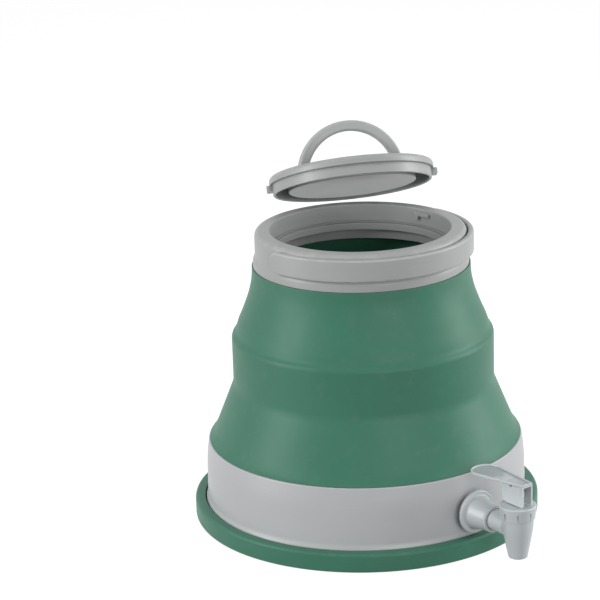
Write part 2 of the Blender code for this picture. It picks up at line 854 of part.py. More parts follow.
def paddle_outline(inset):
    """The lever's plate seen from above, drawn in by an inset."""
    half = lever_width / 2 - inset
    front = -lever_box_front + inset
    middle = (0, paddle_reach - paddle_radius)
    return [(-half, front), (half, front)] + arc(
        middle, paddle_radius - inset, 0, math.pi, paddle_steps
    )


def make_lever(plastic, lever_frame):
    """A box that is open below and outwards, under a plate with a raised lip.

    Its pin goes in from the right, and the hole ends inside the left wall.
    """
    half = lever_width / 2
    low = -(lever_pivot_rise - lever_lift)
    plate_bottom = lever_box_above
    plate_top = plate_bottom + paddle_thickness
    outline = paddle_outline(0)
    lever = prism("tap_lever", outline, plate_bottom, plate_top, plastic)
    box = prism(
        "lever_box",
        [(-half, -lever_box_front), (half, -lever_box_front), (half, lever_box_back),
         (-half, lever_box_back)],
        low, plate_top - paddle_recess - lever_lift,
    )
    shaped(lever, placed(box, lever_frame), "UNION")
    inside = half - lever_wall
    hollow = prism(
        "lever_hollow",
        [(-inside, -lever_box_front - overrun), (inside, -lever_box_front - overrun),
         (inside, lever_box_back - lever_wall), (-inside, lever_box_back - lever_wall)],
        low - overrun, plate_bottom - lever_box_roof,
    )
    shaped(lever, placed(hollow, lever_frame), "DIFFERENCE")
    recess = prism(
        "lever_recess", paddle_outline(paddle_lip), plate_top - paddle_recess,
        plate_top + overrun,
    )
    shaped(lever, placed(recess, lever_frame), "DIFFERENCE")
    hole = rod("lever_hole", lever_pin_radius + gap, -half + lever_skin, half + overrun)
    return shaped(lever, placed(hole, lever_frame, rotation=(0, quarter, 0)), "DIFFERENCE")


def make_tap(plastic, rubber, turn_frame, tap_frame):
    """All pieces of the tap."""
    barrel_frame = frame("tap_barrel_frame", turn_frame, (0, -tap_reach, 0))
    placed(make_sleeve(plastic), tap_frame)
    gasket = make_gasket(rubber)
    placed(gasket, tap_frame)
    placed(make_washer(rubber), tap_frame)
    nut, nut_top = make_nut(plastic)
    placed(nut, tap_frame)
    bore = rod("nut_bore", shank_radius + gap, nut_top - nut_thickness - overrun, nut_top + overrun)
    shaped(nut, placed(bore, tap_frame), "DIFFERENCE")
    placed(make_tap_body(plastic, tap_frame, barrel_frame), barrel_frame)
    placed(make_bonnet(plastic), barrel_frame)
    placed(make_seat(rubber), barrel_frame)
    placed(make_stem(plastic, barrel_frame), barrel_frame)
    lever_frame = frame("tap_lever_frame", barrel_frame, (0, 0, lever_pivot_height))
    placed(make_lever(plastic, lever_frame), lever_frame)
    half = lever_width / 2
    pin_start = -half + lever_skin + lever_pin_end
    pin = rod("tap_lever_pin", lever_pin_radius, pin_start, half, plastic)
    placed(pin, lever_frame, rotation=(0, quarter, 0))


def make_lid_group(plastic, rubber, collar_frame):
    """The seal, the lid, its pins and its bail, where the lifted lid is held."""
    turn_frame = frame("lid_turn_frame", collar_frame)
    placed(make_mouth_seal(rubber), turn_frame)
    swing_frame = frame("lid_swing_frame", turn_frame, rotation=(0, 0, swing_bearing))
    line = frame(
        "lid_swing_line", swing_frame,
        (0, swing_axis_back, lid_seat_pins + swing_axis_rise), (-lid_swing, 0, 0),
    )
    seated = (0, -swing_axis_back, -swing_axis_rise)
    pin_frame = frame("lid_pin_frame", line, seated, (0, 0, pin_skew))
    lid_frame = frame("lid_frame", line, seated, (lid_level_turn, 0, pin_skew))
    placed(make_lid(plastic, lid_frame), lid_frame)
    bail_frame = frame("lid_bail_frame", lid_frame, rotation=(bail_lean, 0, 0))
    stand = frame("lid_bail_stand", bail_frame, rotation=(quarter, 0, 0))
    placed(make_bail(plastic, stand), stand)
    low = bail_radius - bail_depth + bail_pin_end
    high = pan_radius - pan_wall + boss_bury - bail_pin_end
    for side, turn in (("left", -quarter), ("right", quarter)):
        pin = rod(f"lid_bail_pin_{side}", bail_pin_radius, low, high, plastic)
        placed(pin, pin_frame, rotation=(0, turn, 0))


def make_carrier():
    """Build every piece in its place."""
    clear_scene()
    green = look("green silicone", (0.055, 0.195, 0.130), 0.62)
    grey = look("grey plastic", (0.38, 0.39, 0.385), 0.42)
    pale = look("pale grey plastic", (0.45, 0.46, 0.47), 0.40)
    cool = look("cool grey plastic", (0.40, 0.44, 0.46), 0.35)
    clear_rubber = look("grey rubber", (0.30, 0.31, 0.31), 0.60)

    turn_frame = frame("tap_turn_frame", rotation=(0, 0, tap_turn))
    tap_frame = frame("tap_inlet_frame", turn_frame, (0, 0, inlet_height), (quarter, 0, 0))
    make_foot(green)
    make_tub(pale, tap_frame)
    make_base_clamp(grey)
    make_lower_fold(green)
    make_tap(cool, clear_rubber, turn_frame, tap_frame)

    middle_frame = frame("middle_frame")
    placed(make_middle_ring(green), middle_frame)
    collar_frame = frame("collar_frame")
    placed(make_upper_fold(green), collar_frame)
    placed(make_neck_ring(grey), collar_frame)
    placed(make_collar(grey, collar_frame), collar_frame)
    handle_frame = frame("handle_frame", collar_frame, (0, 0, handle_pivot_height))
    placed(make_handle(grey, handle_frame), handle_frame)
    for side, turn in (("left", -quarter), ("right", quarter)):
        pin_place = (0, 0, handle_pivot_height)
        placed(make_handle_pin(side, grey), collar_frame, pin_place, (0, turn, 0))
    make_lid_group(grey, clear_rubber, collar_frame)


make_carrier()
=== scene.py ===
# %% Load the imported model
import math

import bmesh
import bpy
from mathutils import Matrix, Vector


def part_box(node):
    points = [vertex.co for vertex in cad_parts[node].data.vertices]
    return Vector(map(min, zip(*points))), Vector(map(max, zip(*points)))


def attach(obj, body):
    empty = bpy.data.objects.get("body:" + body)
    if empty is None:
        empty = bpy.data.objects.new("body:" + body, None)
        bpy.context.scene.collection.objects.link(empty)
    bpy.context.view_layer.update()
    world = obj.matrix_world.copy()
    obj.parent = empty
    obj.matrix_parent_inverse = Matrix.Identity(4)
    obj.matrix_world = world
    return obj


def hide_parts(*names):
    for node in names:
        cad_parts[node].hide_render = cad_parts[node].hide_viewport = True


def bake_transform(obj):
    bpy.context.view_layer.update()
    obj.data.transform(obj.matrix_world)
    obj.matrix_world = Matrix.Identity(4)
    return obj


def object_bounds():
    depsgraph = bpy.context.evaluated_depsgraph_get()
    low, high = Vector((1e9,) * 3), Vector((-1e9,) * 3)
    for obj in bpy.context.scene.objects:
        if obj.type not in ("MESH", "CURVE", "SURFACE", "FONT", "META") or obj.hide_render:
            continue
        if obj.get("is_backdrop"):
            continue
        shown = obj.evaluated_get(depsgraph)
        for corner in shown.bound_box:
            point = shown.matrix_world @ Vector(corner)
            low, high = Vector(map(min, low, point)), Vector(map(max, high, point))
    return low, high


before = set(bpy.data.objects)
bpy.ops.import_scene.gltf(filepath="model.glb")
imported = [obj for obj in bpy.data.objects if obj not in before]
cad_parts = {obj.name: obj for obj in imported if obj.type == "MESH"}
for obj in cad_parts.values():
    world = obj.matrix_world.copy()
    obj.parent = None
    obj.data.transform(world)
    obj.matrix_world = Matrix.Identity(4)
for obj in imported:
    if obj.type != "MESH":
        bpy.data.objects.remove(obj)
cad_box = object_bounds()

# %% [markdown]
# # A folding water carrier, dressed for its picture
# The real object is a soft green bellows between a rigid tub and a rigid collar, with
# a lid, a carry handle and a lever tap. The rigid frame above already has every piece
# in its place and knows how it moves. It is made of flat facets, though, as an
# engineering model is. This lesson makes a smooth piece for each part that shows,
# hangs it on the right moving body, and gives it a finish.
#
# All sizes below are in millimetres, because that is how a mould maker thinks, and one
# helper turns them into Blender's metres.

# %% Millimetres and the frame's own sizes
MM = 0.001


def round_size(node):
    """The radius, foot and head of a round CAD piece, in millimetres."""
    low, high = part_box(node)
    return (high.x - low.x) / 2 / MM, low.z / MM, high.z / MM


foot_radius, _, foot_height = round_size("base_foot")
tub_radius, tub_bottom, tub_height = round_size("base_tub")
ring_radius, ring_bottom, ring_top = round_size("bellows_middle_ring")
skirt_radius, skirt_bottom, rim_top = round_size("collar")
print(f"foot radius {foot_radius:.1f}, foot height {foot_height:.1f}, rim at {rim_top:.1f}")

# %% [markdown]
# ## The camera
# The photograph was taken from some way off and above the rim, with a long lens: the
# round rims look like flat ellipses, and the upright sides hardly lean towards each
# other. A long lens is a small angle of view. The frame's own axes are turned
# against the picture, so the camera is first placed as if it looked along +Y, tipped
# down, rolled a little, and the whole rig is then turned round the carrier.

# %% Place the camera
camera_turn = math.radians(-42)
camera_place = Vector((-0.0495, -1.7150, 0.7002))
camera_tip = math.radians(73.05)
camera_roll = math.radians(-1.813)
camera_lens = 134.4

camera = bpy.data.objects.new("camera", bpy.data.cameras.new("camera"))
bpy.context.collection.objects.link(camera)
camera.data.lens = camera_lens
camera.matrix_world = (
    Matrix.Rotation(camera_turn, 4, "Z")
    @ Matrix.Translation(camera_place)
    @ Matrix.Rotation(camera_tip, 4, "X")
    @ Matrix.Rotation(camera_roll, 4, "Z")
)
bpy.context.scene.camera = camera
print("camera looks from", tuple(round(v, 3) for v in camera.matrix_world.translation))

# %% [markdown]
# ## Shader maths that reads like maths
# Every finish below is a small network of nodes. Wiring nodes by hand hides the idea
# behind a lot of clicks, so one class stands for a node's output and lets it be added
# or multiplied. Each sum adds the Math node that does it, and the plain number may
# stand on either side.

# %% A node's output as a value
class Value:
    """A node's output that can be used in sums."""

    def __init__(self, recipe, socket):
        self.recipe = recipe
        self.socket = socket

    def also(self, name):
        """Another output of the same node."""
        return Value(self.recipe, self.socket.node.outputs[name])

    def maths(self, operation, *others):
        inputs = dict(enumerate((self,) + others))
        return self.recipe.node("ShaderNodeMath", {"operation": operation}, inputs)

    def __add__(self, other):
        return self.maths("ADD", other)

    def __mul__(self, other):
        return self.maths("MULTIPLY", other)

    __radd__ = __add__
    __rmul__ = __mul__


print("a value can stand in sums and products")

# %% [markdown]
# ## One material and its nodes
# Any other node comes from one method, which takes its type, its settings and what goes
# into its sockets. Everything else in the class is a name for a few nodes that are often
# used together, such as soft noise or a mask, so that a finish reads like a sentence.

# %% A material's recipe
MARK_SHARE = 0.75


class Recipe:
    """One material or world and the nodes in it."""

    def __init__(self, owner):
        self.owner = owner
        owner.use_nodes = True
        self.tree = owner.node_tree
        self.tree.nodes.clear()
        self.place = self.node("ShaderNodeTexCoord", out="Object")

    def node(self, kind, settings=None, inputs=None, out=0):
        """Add a node: first its settings, then the values or links of its sockets."""
        made = self.tree.nodes.new(kind)
        for key, value in (settings or {}).items():
            setattr(made, key, value)
        for key, value in (inputs or {}).items():
            if isinstance(value, Value):
                self.tree.links.new(value.socket, made.inputs[key])
            else:
                made.inputs[key].default_value = value
        return Value(self, made.outputs[out]) if made.outputs else None

    def stretched(self, across, along):
        """Places scaled by one number level and by another up and down."""
        return self.node(
            "ShaderNodeVectorMath", {"operation": "MULTIPLY"},
            {0: self.place, 1: (across, across, along)},
        )

    def cloud(self, size, detail=2.0, where=None, rough=0.5):
        """Soft noise whose patches are about this many millimetres wide."""
        return self.node(
            "ShaderNodeTexNoise", {},
            {"Vector": where or self.place, "Scale": 1 / (size * MM), "Detail": detail,
             "Roughness": rough},
        )

    def between(self, value, low, high):
        """A mask that rises from nothing to all between two values."""
        return self.node(
            "ShaderNodeMapRange", {"interpolation_type": "SMOOTHSTEP"},
            {"Value": value, "From Min": low, "From Max": high},
        )

    def mixed(self, factor, first, second):
        """One colour where the mask is black, another where it is white."""
        return self.node(
            "ShaderNodeMix", {"data_type": "RGBA"},
            {0: factor, 6: first, 7: second}, out=2,
        )

    def marked(self, mark, size, low, high):
        """A broken mask where the attribute that each piece carries is strong."""
        strength = self.node("ShaderNodeAttribute", {"attribute_name": mark}, out="Fac")
        noise = self.cloud(size, detail=4, rough=0.65)
        return self.between(strength * MARK_SHARE + noise * MARK_SHARE, low, high)

    def seen(self):
        """One for what the camera sees, also in a mirror or through glass, else nought."""
        direct = self.node("ShaderNodeLightPath", out="Is Camera Ray")
        mirrored = direct.maths("MAXIMUM", direct.also("Is Glossy Ray"))
        return mirrored.maths("MAXIMUM", direct.also("Is Transmission Ray"))

    def finish(self, shader, output="ShaderNodeOutputMaterial"):
        self.node(output, {}, {"Surface": shader})
        return self.owner


print("a recipe adds clouds, masks and mixes to a material")

# %% [markdown]
# ## The soft finishes
# The bellows is dyed silicone: dull, slightly cloudy, with a soft grain and a little
# dust that makes it paler in patches. Its outer edges are paler too, partly from wear
# and partly as a painted highlight. One flat colour would be quicker, but it looks like
# paint. Here slow noise varies the colour, and two fine noises together make the grain.

# %% Silicone
GREEN = (0.042, 0.174, 0.113)
RUBBER = (0.30, 0.31, 0.31)
DUST_AND_HIGHLIGHT_TONE = 0.36
DUST_AND_HIGHLIGHT_SHARE = 0.14
# Between these strengths outer edges turn paler, as wear and a painted highlight.
WEAR_AND_HIGHLIGHT_FROM = 0.72
WEAR_AND_HIGHLIGHT_FULL = 1.05


def shade(colour, factor):
    """A colour made darker or lighter, as a socket wants it."""
    return tuple(min(1.0, part * factor) for part in colour) + (1.0,)


def silicone(name, colour, roughness, grain):
    """Dull rubber with clouds, dust and a fine grain."""
    recipe = Recipe(bpy.data.materials.new(name))
    cloudy = recipe.cloud(size=46, detail=3)
    dust = recipe.between(recipe.cloud(size=9, detail=4, rough=0.6), 0.52, 0.78)
    body = recipe.mixed(cloudy, shade(colour, 0.90), shade(colour, 1.10))
    # A pale dust tone: for dust patches, and on outer edges also a painted highlight.
    dust_and_highlight_tone = shade([(1 - DUST_AND_HIGHLIGHT_SHARE) * part + DUST_AND_HIGHLIGHT_SHARE * DUST_AND_HIGHLIGHT_TONE for part in colour], 1)
    dusty = recipe.mixed(dust * 0.35, body, dust_and_highlight_tone)
    # Outer edges paler: partly wear, partly a painted highlight.
    worn_and_lit = recipe.marked("wear_and_highlight", 7, WEAR_AND_HIGHLIGHT_FROM, WEAR_AND_HIGHLIGHT_FULL)
    surface = recipe.mixed(worn_and_lit * 0.5, dusty, dust_and_highlight_tone)
    fine = recipe.cloud(size=1.1, detail=3, rough=0.6)
    pores = recipe.cloud(size=0.45, detail=1)
    bump = recipe.node(
        "ShaderNodeBump", {},
        {"Strength": grain, "Distance": 0.0004, "Height": fine * 0.7 + pores * 0.3},
    )
    shader = recipe.node(
        "ShaderNodeBsdfPrincipled", {},
        {"Base Color": surface, "Roughness": roughness + recipe.cloud(size=20, detail=3) * 0.10,
         "Specular IOR Level": 0.32, "Sheen Weight": 0.03, "Sheen Roughness": 0.5,
         "Normal": bump},
    )
    return recipe.finish(shader)


silicone_green = silicone("silicone_green", GREEN, roughness=0.44, grain=0.22)
rubber_grey = silicone("rubber_grey", RUBBER, roughness=0.52, grain=0.18)
print("soft finishes:", silicone_green.name, rubber_grey.name)

# %% [markdown]
# ## The hard finishes
# The grey pieces are moulded plastic. A mould leaves a fine even grain, handling
# polishes it unevenly, and sliding on shelves leaves hairlines that run round the
# piece. Outer edges are paler, partly from wear and partly as a painted highlight, and
# inner corners are darker, partly from grime and partly as painted shade. The hairlines
# are noise that is stretched until it runs round the piece. The paler edges and the
# darker corners follow two marks that each mesh carries, which are made further down.

# %% Moulded plastic
COLLAR_GREY = (0.38, 0.39, 0.385)
BAND_GREY = (0.385, 0.395, 0.393)
TUB_GREY = (0.485, 0.495, 0.505)
TAP_GREY = (0.54, 0.577, 0.592)
# Between these strengths inner corners turn darker, as grime and painted shade.
SHADE_AND_GRIME_FROM = 0.50
SHADE_AND_GRIME_FULL = 1.10


def plastic(name, colour, roughness, hairlines, coat=0.0):
    """Moulded plastic with hairlines, wear with a painted highlight, grime with painted shade."""
    recipe = Recipe(bpy.data.materials.new(name))
    cloudy = recipe.cloud(size=60, detail=3)
    body = recipe.mixed(cloudy, shade(colour, 0.95), shade(colour, 1.05))
    round_the_piece = recipe.stretched(across=0.05, along=4.0)
    lines = recipe.cloud(size=3.0, where=round_the_piece, rough=0.7)
    patches = recipe.between(recipe.cloud(size=30), 0.44, 0.62)
    scuffs = recipe.between(lines, 0.58, 0.74) * patches * hairlines
    scuffed = recipe.mixed(scuffs, body, shade(colour, 1.30))
    # Inner corners darker: partly grime, partly painted shade.
    shade_and_grime = recipe.marked("shade_and_grime", 11, SHADE_AND_GRIME_FROM, SHADE_AND_GRIME_FULL)
    shaded_and_grimy = recipe.mixed(shade_and_grime * 0.6, scuffed, shade(colour, 0.60))
    # Outer edges paler: partly wear, partly a painted highlight.
    worn_and_lit = recipe.marked("wear_and_highlight", 7, WEAR_AND_HIGHLIGHT_FROM, WEAR_AND_HIGHLIGHT_FULL)
    surface = recipe.mixed(worn_and_lit * 0.6, shaded_and_grimy, shade(colour, 1.35))
    height = recipe.cloud(size=0.6) * 0.6 + scuffs * 0.8
    bump = recipe.node(
        "ShaderNodeBump", {}, {"Strength": 0.10, "Distance": 0.0003, "Height": height}
    )
    uneven = recipe.cloud(size=25, detail=4) * 0.12
    shader = recipe.node(
        "ShaderNodeBsdfPrincipled", {},
        {"Base Color": surface, "Roughness": roughness + uneven + scuffs * 0.10 + worn_and_lit * 0.08,
         "Coat Weight": coat, "Coat Roughness": 0.12, "Normal": bump},
    )
    return recipe.finish(shader)


collar_plastic = plastic("collar_plastic", COLLAR_GREY, roughness=0.36, hairlines=0.30)
band_plastic = plastic("band_plastic", BAND_GREY, roughness=0.33, hairlines=0.75)
tub_plastic = plastic("tub_plastic", TUB_GREY, roughness=0.34, hairlines=0.30)
tap_plastic = plastic("tap_plastic", TAP_GREY, roughness=0.30, hairlines=0.25)
lid_plastic = plastic("lid_plastic", COLLAR_GREY, roughness=0.38, hairlines=0.40, coat=0.08)
hard = (collar_plastic, band_plastic, tub_plastic, tap_plastic, lid_plastic)
print("hard finishes:", ", ".join(material.name for material in hard))

# %% [markdown]
# ## One helper for round pieces
# Nearly every piece was turned in its mould, so it is drawn as half a section and spun
# round its axis. The section is a closed line of corners, each with its own rounding.
# A bevel on the line's corners makes the roundings, so that no arc is worked out by
# hand. After the spin the doubled seam and pole are merged, and only then the faces
# are made to point outwards. Weighted normals keep the broad faces clean beside their
# small round edges.

# %% Draw a section
EDGE_SEGMENTS = 5
WELD = 1e-6


def section(bm, corners, longest):
    """A closed line through corners, with no edge longer than the given length.

    A corner is a radius and a height and, where it is rounded, the rounding.
    """
    places = [Vector((corner[0] * MM, 0, corner[1] * MM)) for corner in corners]
    face = bm.faces.new([bm.verts.new(place) for place in places])
    for rounding in sorted({corner[2] for corner in corners if len(corner) > 2}):
        wanted = [
            place for place, corner in zip(places, corners)
            if len(corner) > 2 and corner[2] == rounding
        ]
        verts = [v for v in bm.verts if any((v.co - p).length < WELD for p in wanted)]
        bmesh.ops.bevel(
            bm, geom=verts, offset=rounding * MM, segments=EDGE_SEGMENTS, profile=0.5,
            affect="VERTICES", material=-1, clamp_overlap=True,
        )
    bmesh.ops.delete(bm, geom=list(bm.faces), context="FACES_ONLY")
    for edge in list(bm.edges):
        cuts = int(edge.calc_length() / (longest * MM))
        if cuts:
            bmesh.ops.subdivide_edges(bm, edges=[edge], cuts=cuts)


print("a rounding has", EDGE_SEGMENTS, "edges")

# %% Turn a section into a solid
FINE = 160
MEDIUM = 96
LONGEST = 4.0


def clean(bm):
    """Merge what lies together, close what is open and turn the faces outwards."""
    bmesh.ops.remove_doubles(bm, verts=bm.verts, dist=WELD)
    flat = [f for f in bm.faces if f.calc_area() < WELD * WELD]
    bmesh.ops.delete(bm, geom=flat, context="FACES")
    bmesh.ops.recalc_face_normals(bm, faces=bm.faces)


def turned(corners, steps=FINE, longest=LONGEST, start=0.0, span=math.tau):
    """A bmesh spun from half a section, whole or in part."""
    bm = bmesh.new()
    section(bm, corners, longest)
    whole = span > math.tau - WELD
    bmesh.ops.rotate(bm, verts=bm.verts, matrix=Matrix.Rotation(start, 3, "Z"))
    bmesh.ops.spin(
        bm, geom=list(bm.verts) + list(bm.edges), axis=(0, 0, 1), cent=(0, 0, 0),
        angle=span, steps=steps, use_merge=whole,
    )
    bmesh.ops.remove_doubles(bm, verts=bm.verts, dist=WELD)
    if not whole:
        bmesh.ops.holes_fill(bm, edges=[e for e in bm.edges if e.is_boundary], sides=0)
    clean(bm)
    return bm


print("a large piece has", FINE, "steps round its axis and a small one", MEDIUM)

# %% [markdown]
# ## From a bmesh to a piece
# A piece's place is put into its mesh, so that its object can stay at the origin. Every
# pattern on Object coordinates relies on that. A cutter is another piece that is taken
# away with a Boolean modifier, whose result is kept as the mesh. The shading modifier is
# switched off meanwhile, so that only the cut is kept.

# %% Put a bmesh in its place
SHARP = math.radians(34)


def piece(name, bm, material, place=None, weighted=True):
    """Put a bmesh in its place as a named object with smooth faces and a finish."""
    if place is not None:
        bmesh.ops.transform(bm, matrix=place, verts=bm.verts)
    mesh = bpy.data.meshes.new(name)
    bm.to_mesh(mesh)
    bm.free()
    mesh.materials.append(material)
    mesh.shade_smooth()
    mesh.set_sharp_from_angle(angle=SHARP)
    made = bpy.data.objects.new(name, mesh)
    bpy.context.collection.objects.link(made)
    if weighted:
        even = made.modifiers.new("even_shading", "WEIGHTED_NORMAL")
        even.keep_sharp = True
    return made


print(f"edges stay smooth up to {math.degrees(SHARP):.0f} degrees")

# %% Join to a piece or cut from it
def carve(made, bm, operation, place=None):
    """Join a bmesh to a piece or cut it away, and keep the result as the mesh."""
    tool = piece("tool", bm, made.data.materials[0], place, weighted=False)
    step = made.modifiers.new("carve", "BOOLEAN")
    step.operation = operation
    step.solver = "EXACT"
    step.object = tool
    made.modifiers.move(len(made.modifiers) - 1, 0)
    even = made.modifiers.get("even_shading")
    if even:
        even.show_viewport = False
    depsgraph = bpy.context.evaluated_depsgraph_get()
    mesh = bpy.data.meshes.new_from_object(made.evaluated_get(depsgraph))
    made.modifiers.remove(step)
    if even:
        even.show_viewport = True
    made.data = mesh
    mesh.shade_smooth()
    mesh.set_sharp_from_angle(angle=SHARP)
    bpy.data.objects.remove(tool)
    return made


print("solids can be joined and cut")

# %% [markdown]
# ## Edge marks and body
# A finish can't see where a piece has its edges. So each point of a mesh carries two
# numbers that say how sharply its faces turn outwards and inwards. The finishes paint
# outer edges paler, as wear and a painted highlight, and inner corners darker, as grime
# and painted shade. A seam between two skins of the bellows isn't an edge of the real
# sheet, so points on a seam are left out. The last helper marks a piece, hangs it on
# its moving body and lets it stand for pieces of the frame.

# %% Settle a piece
LEAST_TURN = math.radians(5)
FULL_TURN = math.radians(22)


def mark_edges(mesh, seams):
    """Note at each point, but on seams, how sharply its faces turn outwards and inwards."""
    bm = bmesh.new()
    bm.from_mesh(mesh)
    wear_and_highlight = bm.verts.layers.float.new("wear_and_highlight")
    shade_and_grime = bm.verts.layers.float.new("shade_and_grime")
    for vert in bm.verts:
        if any(abs(vert.co.z - seam * MM) < WELD for seam in seams):
            continue
        turns = [e.calc_face_angle_signed(0.0) for e in vert.link_edges]
        # Outward turns: edges that are worn and painted with a highlight.
        vert[wear_and_highlight] = min(1.0, max(0.0, max(turns) - LEAST_TURN) / FULL_TURN)
        # Inward turns: corners that hold grime and are painted with shade.
        vert[shade_and_grime] = min(1.0, max(0.0, -min(turns) - LEAST_TURN) / FULL_TURN)
    bm.to_mesh(mesh)
    bm.free()


def settle(made, body, slot, *nodes, seams=()):
    """Mark a piece's edges, hang it on its body and let it stand for CAD nodes. The slot is not
    used.
    """
    mark_edges(made.data, seams)
    if body:
        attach(made, body)
    if nodes:
        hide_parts(*nodes)
    made.data.calc_loop_triangles()
    print(f"{made.name}: {len(made.data.loop_triangles)} triangles on {body}")
    return made


print(f"wear begins at {math.degrees(LEAST_TURN):.0f} degrees")

# %% [markdown]
# ## The foot
# The carrier stands in a shallow dish of green silicone, which keeps the tub from
# sliding and hides its lower edge. It could be a plain disc, but the soft lip round
# the tub shows in the picture, so the dish has its wall and a round upper edge.

# %% Foot
foot_wall = 8.3
foot_floor = 3.0
foot_low_edge = 2.5
foot_high_edge = 2.6
foot_bore = foot_radius - foot_wall
foot_corners = [
    (0, 0), (foot_radius, 0, foot_low_edge), (foot_radius, foot_height, foot_high_edge),
    (foot_bore, foot_height, 0.8), (foot_bore, foot_floor, 0.6), (0, foot_floor),
]
foot = piece("silicone_foot", turned(foot_corners), silicone_green)
settle(foot, "base", "green_silicone", "base_foot")

# %% [markdown]
# ## The tub
# The tub is one thin grey moulding. Its wall stands almost upright and widens a little
# where it enters the foot. One slanted edge would show there as a bright band, so the
# corners of this flare follow a curve that starts and ends upright.

# %% Tub
tub_wall = 2.5
tub_floor = 3.0
tub_waist = 129.6
tub_shoulder = 129.0
tub_top = 127.0
tub_heel_height = foot_height - 3.6
tub_waist_height = foot_height + 3.6
tub_shoulder_height = tub_height - 14.5
flare_steps = 4
outside = []
for step in range(flare_steps + 1):
    climb = step / flare_steps
    share = 1 - climb * climb * (3 - 2 * climb)
    flare_radius = tub_waist + share * (tub_radius - tub_waist)
    flare_height = tub_heel_height + climb * (tub_waist_height - tub_heel_height)
    outside.append((flare_radius, flare_height, 1.6))
outside += [(tub_shoulder, tub_shoulder_height, 6.0), (tub_top, tub_height, 0.9)]
inside = [
    (radius - tub_wall, height, rounding) for radius, height, rounding in reversed(outside)
]
floor_top = tub_bottom + tub_floor
tub_corners = [(0, tub_bottom), (tub_radius, tub_bottom, 1.0)] + outside + inside
tub_corners += [(tub_radius - tub_wall, floor_top, 1.5), (0, floor_top)]
tub = piece("tub", turned(tub_corners), tub_plastic)
print(f"the tub's wall widens by {tub_radius - tub_waist:.1f} at the foot")

# %% [markdown]
# ## The tap's hole in the tub
# The tap's shank passes through a round hole. It can't be part of the section, which is
# spun all the way round, so it is cut with a cylinder that lies along the tap's inlet.
# The same placing serves every turned piece of the tap that lies on that line.

# %% Hole for the shank
inlet_height = 35.4
tap_turn = Matrix.Rotation(math.radians(-5), 4, "Z")
along_inlet = (
    tap_turn
    @ Matrix.Translation((0, 0, inlet_height * MM))
    @ Matrix.Rotation(math.radians(90), 4, "X")
)
shank_radius = 9.5
hole_radius = shank_radius + 0.3
hole_near = 110.0
hole_far = 140.0
hole_corners = [(0, hole_near), (hole_radius, hole_near), (hole_radius, hole_far), (0, hole_far)]
carve(tub, turned(hole_corners, MEDIUM), "DIFFERENCE", along_inlet)
settle(tub, "base", "tub_grey", "base_tub")

# %% [markdown]
# ## The bellows
# On the real carrier this is one sheet of silicone in three stages that fold into each
# other. The frame has them as three rigid rings that telescope. A soft piece must
# join them instead, so each stage is a skin whose ends meet its neighbours' in the
# straight belt. The lower and upper skins are left where they lie and hung on no body.

# %% Lower fold
wall = 2.0
skin_longest = 2.5
belt_low = ring_bottom + 2.2
belt_high = ring_top + 1.8
lower_seam = belt_low + 5.0
upper_seam = belt_high - 6.0
seams = (lower_seam, upper_seam)
ring_inner = ring_radius - wall
bead_radius = 124.2
bead_foot = tub_height - 9.7
lip = tub_height + 0.3
lip_radius = 126.6
fold_shoulder = 121.6
fold_waist = 119.6
lower_outside = [
    (bead_radius, bead_foot), (bead_radius, lip), (lip_radius, lip, 0.8),
    (lip_radius - 2.0, lip + 2.0, 1.5), (fold_shoulder, lip + 6.6, 3.0),
    (fold_waist, lip + 11.2, 3.0), (ring_radius, belt_low, 3.4), (ring_radius, lower_seam),
]
lower_inside = [
    (ring_inner, lower_seam), (ring_inner, belt_low - 0.9, 3.4),
    (fold_waist - wall, lip + 11.0, 3.0), (fold_shoulder - wall, lip + 6.0, 3.0),
    (bead_radius - wall, lip, 1.0), (bead_radius - wall, bead_foot),
]
lower_corners = lower_outside + lower_inside
lower_skin = piece(
    "bellows_lower_skin", turned(lower_corners, longest=skin_longest), silicone_green
)
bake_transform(lower_skin)
settle(lower_skin, None, "green_silicone", "bellows_lower_fold", seams=seams)

# %% [markdown]
# ## The belt
# The middle stage is straight. It could belong to either skin, but it moves as one with
# the middle body and doesn't bend, so it is a short piece of its own between the seams.

# %% Belt
middle_corners = [
    (ring_radius, lower_seam), (ring_radius, upper_seam), (ring_inner, upper_seam),
    (ring_inner, lower_seam),
]
middle_skin = piece("bellows_belt", turned(middle_corners, longest=skin_longest), silicone_green)
settle(middle_skin, "middle", "green_silicone", "bellows_middle_ring", seams=seams)

# %% [markdown]
# ## The upper fold
# The upper fold leans in most just above the belt and stands almost upright under the
# collar. Its outer line is given in shares of its height and of its lean, so it follows
# when the belt or the collar changes. Its upper end turns in under the collar's skirt
# and stands up behind it as a bead.

# %% Upper fold
skirt_foot = skirt_bottom - 1.2
fold_top = skirt_foot - 0.05
fold_foot = belt_high + 3.6
fold_height = fold_top - fold_foot
fold_round = 5.0
ridge_round = 2.2
upper_foot = 101.8
upper_head = skirt_radius + 0.4
neck_radius = 84.0
neck_top = fold_top + 5.3
upper_shares = [(0.0, 0.0), (0.12, 0.10), (0.29, 0.39), (0.58, 0.785), (0.80, 0.966)]
upper_line = [
    (upper_foot - share * (upper_foot - upper_head), fold_foot + climb * fold_height)
    for climb, share in upper_shares
]
upper_corners = [
    (ring_radius, upper_seam), (ring_radius, belt_high, 2.0), (*upper_line[0], ridge_round)
]
upper_corners += [(*corner, fold_round) for corner in upper_line[1:]]
upper_corners += [
    (upper_head, fold_top), (neck_radius, fold_top), (neck_radius, neck_top),
    (neck_radius - wall, neck_top), (neck_radius - wall, fold_top - 2.0),
    (upper_head - wall, fold_top - 4.2),
]
upper_corners += [(radius - wall, height, fold_round) for radius, height in upper_line[:0:-1]]
upper_corners += [
    (upper_foot - wall, fold_foot - 0.8, ridge_round), (ring_inner, belt_high - 0.8, 2.0),
    (ring_inner, upper_seam),
]
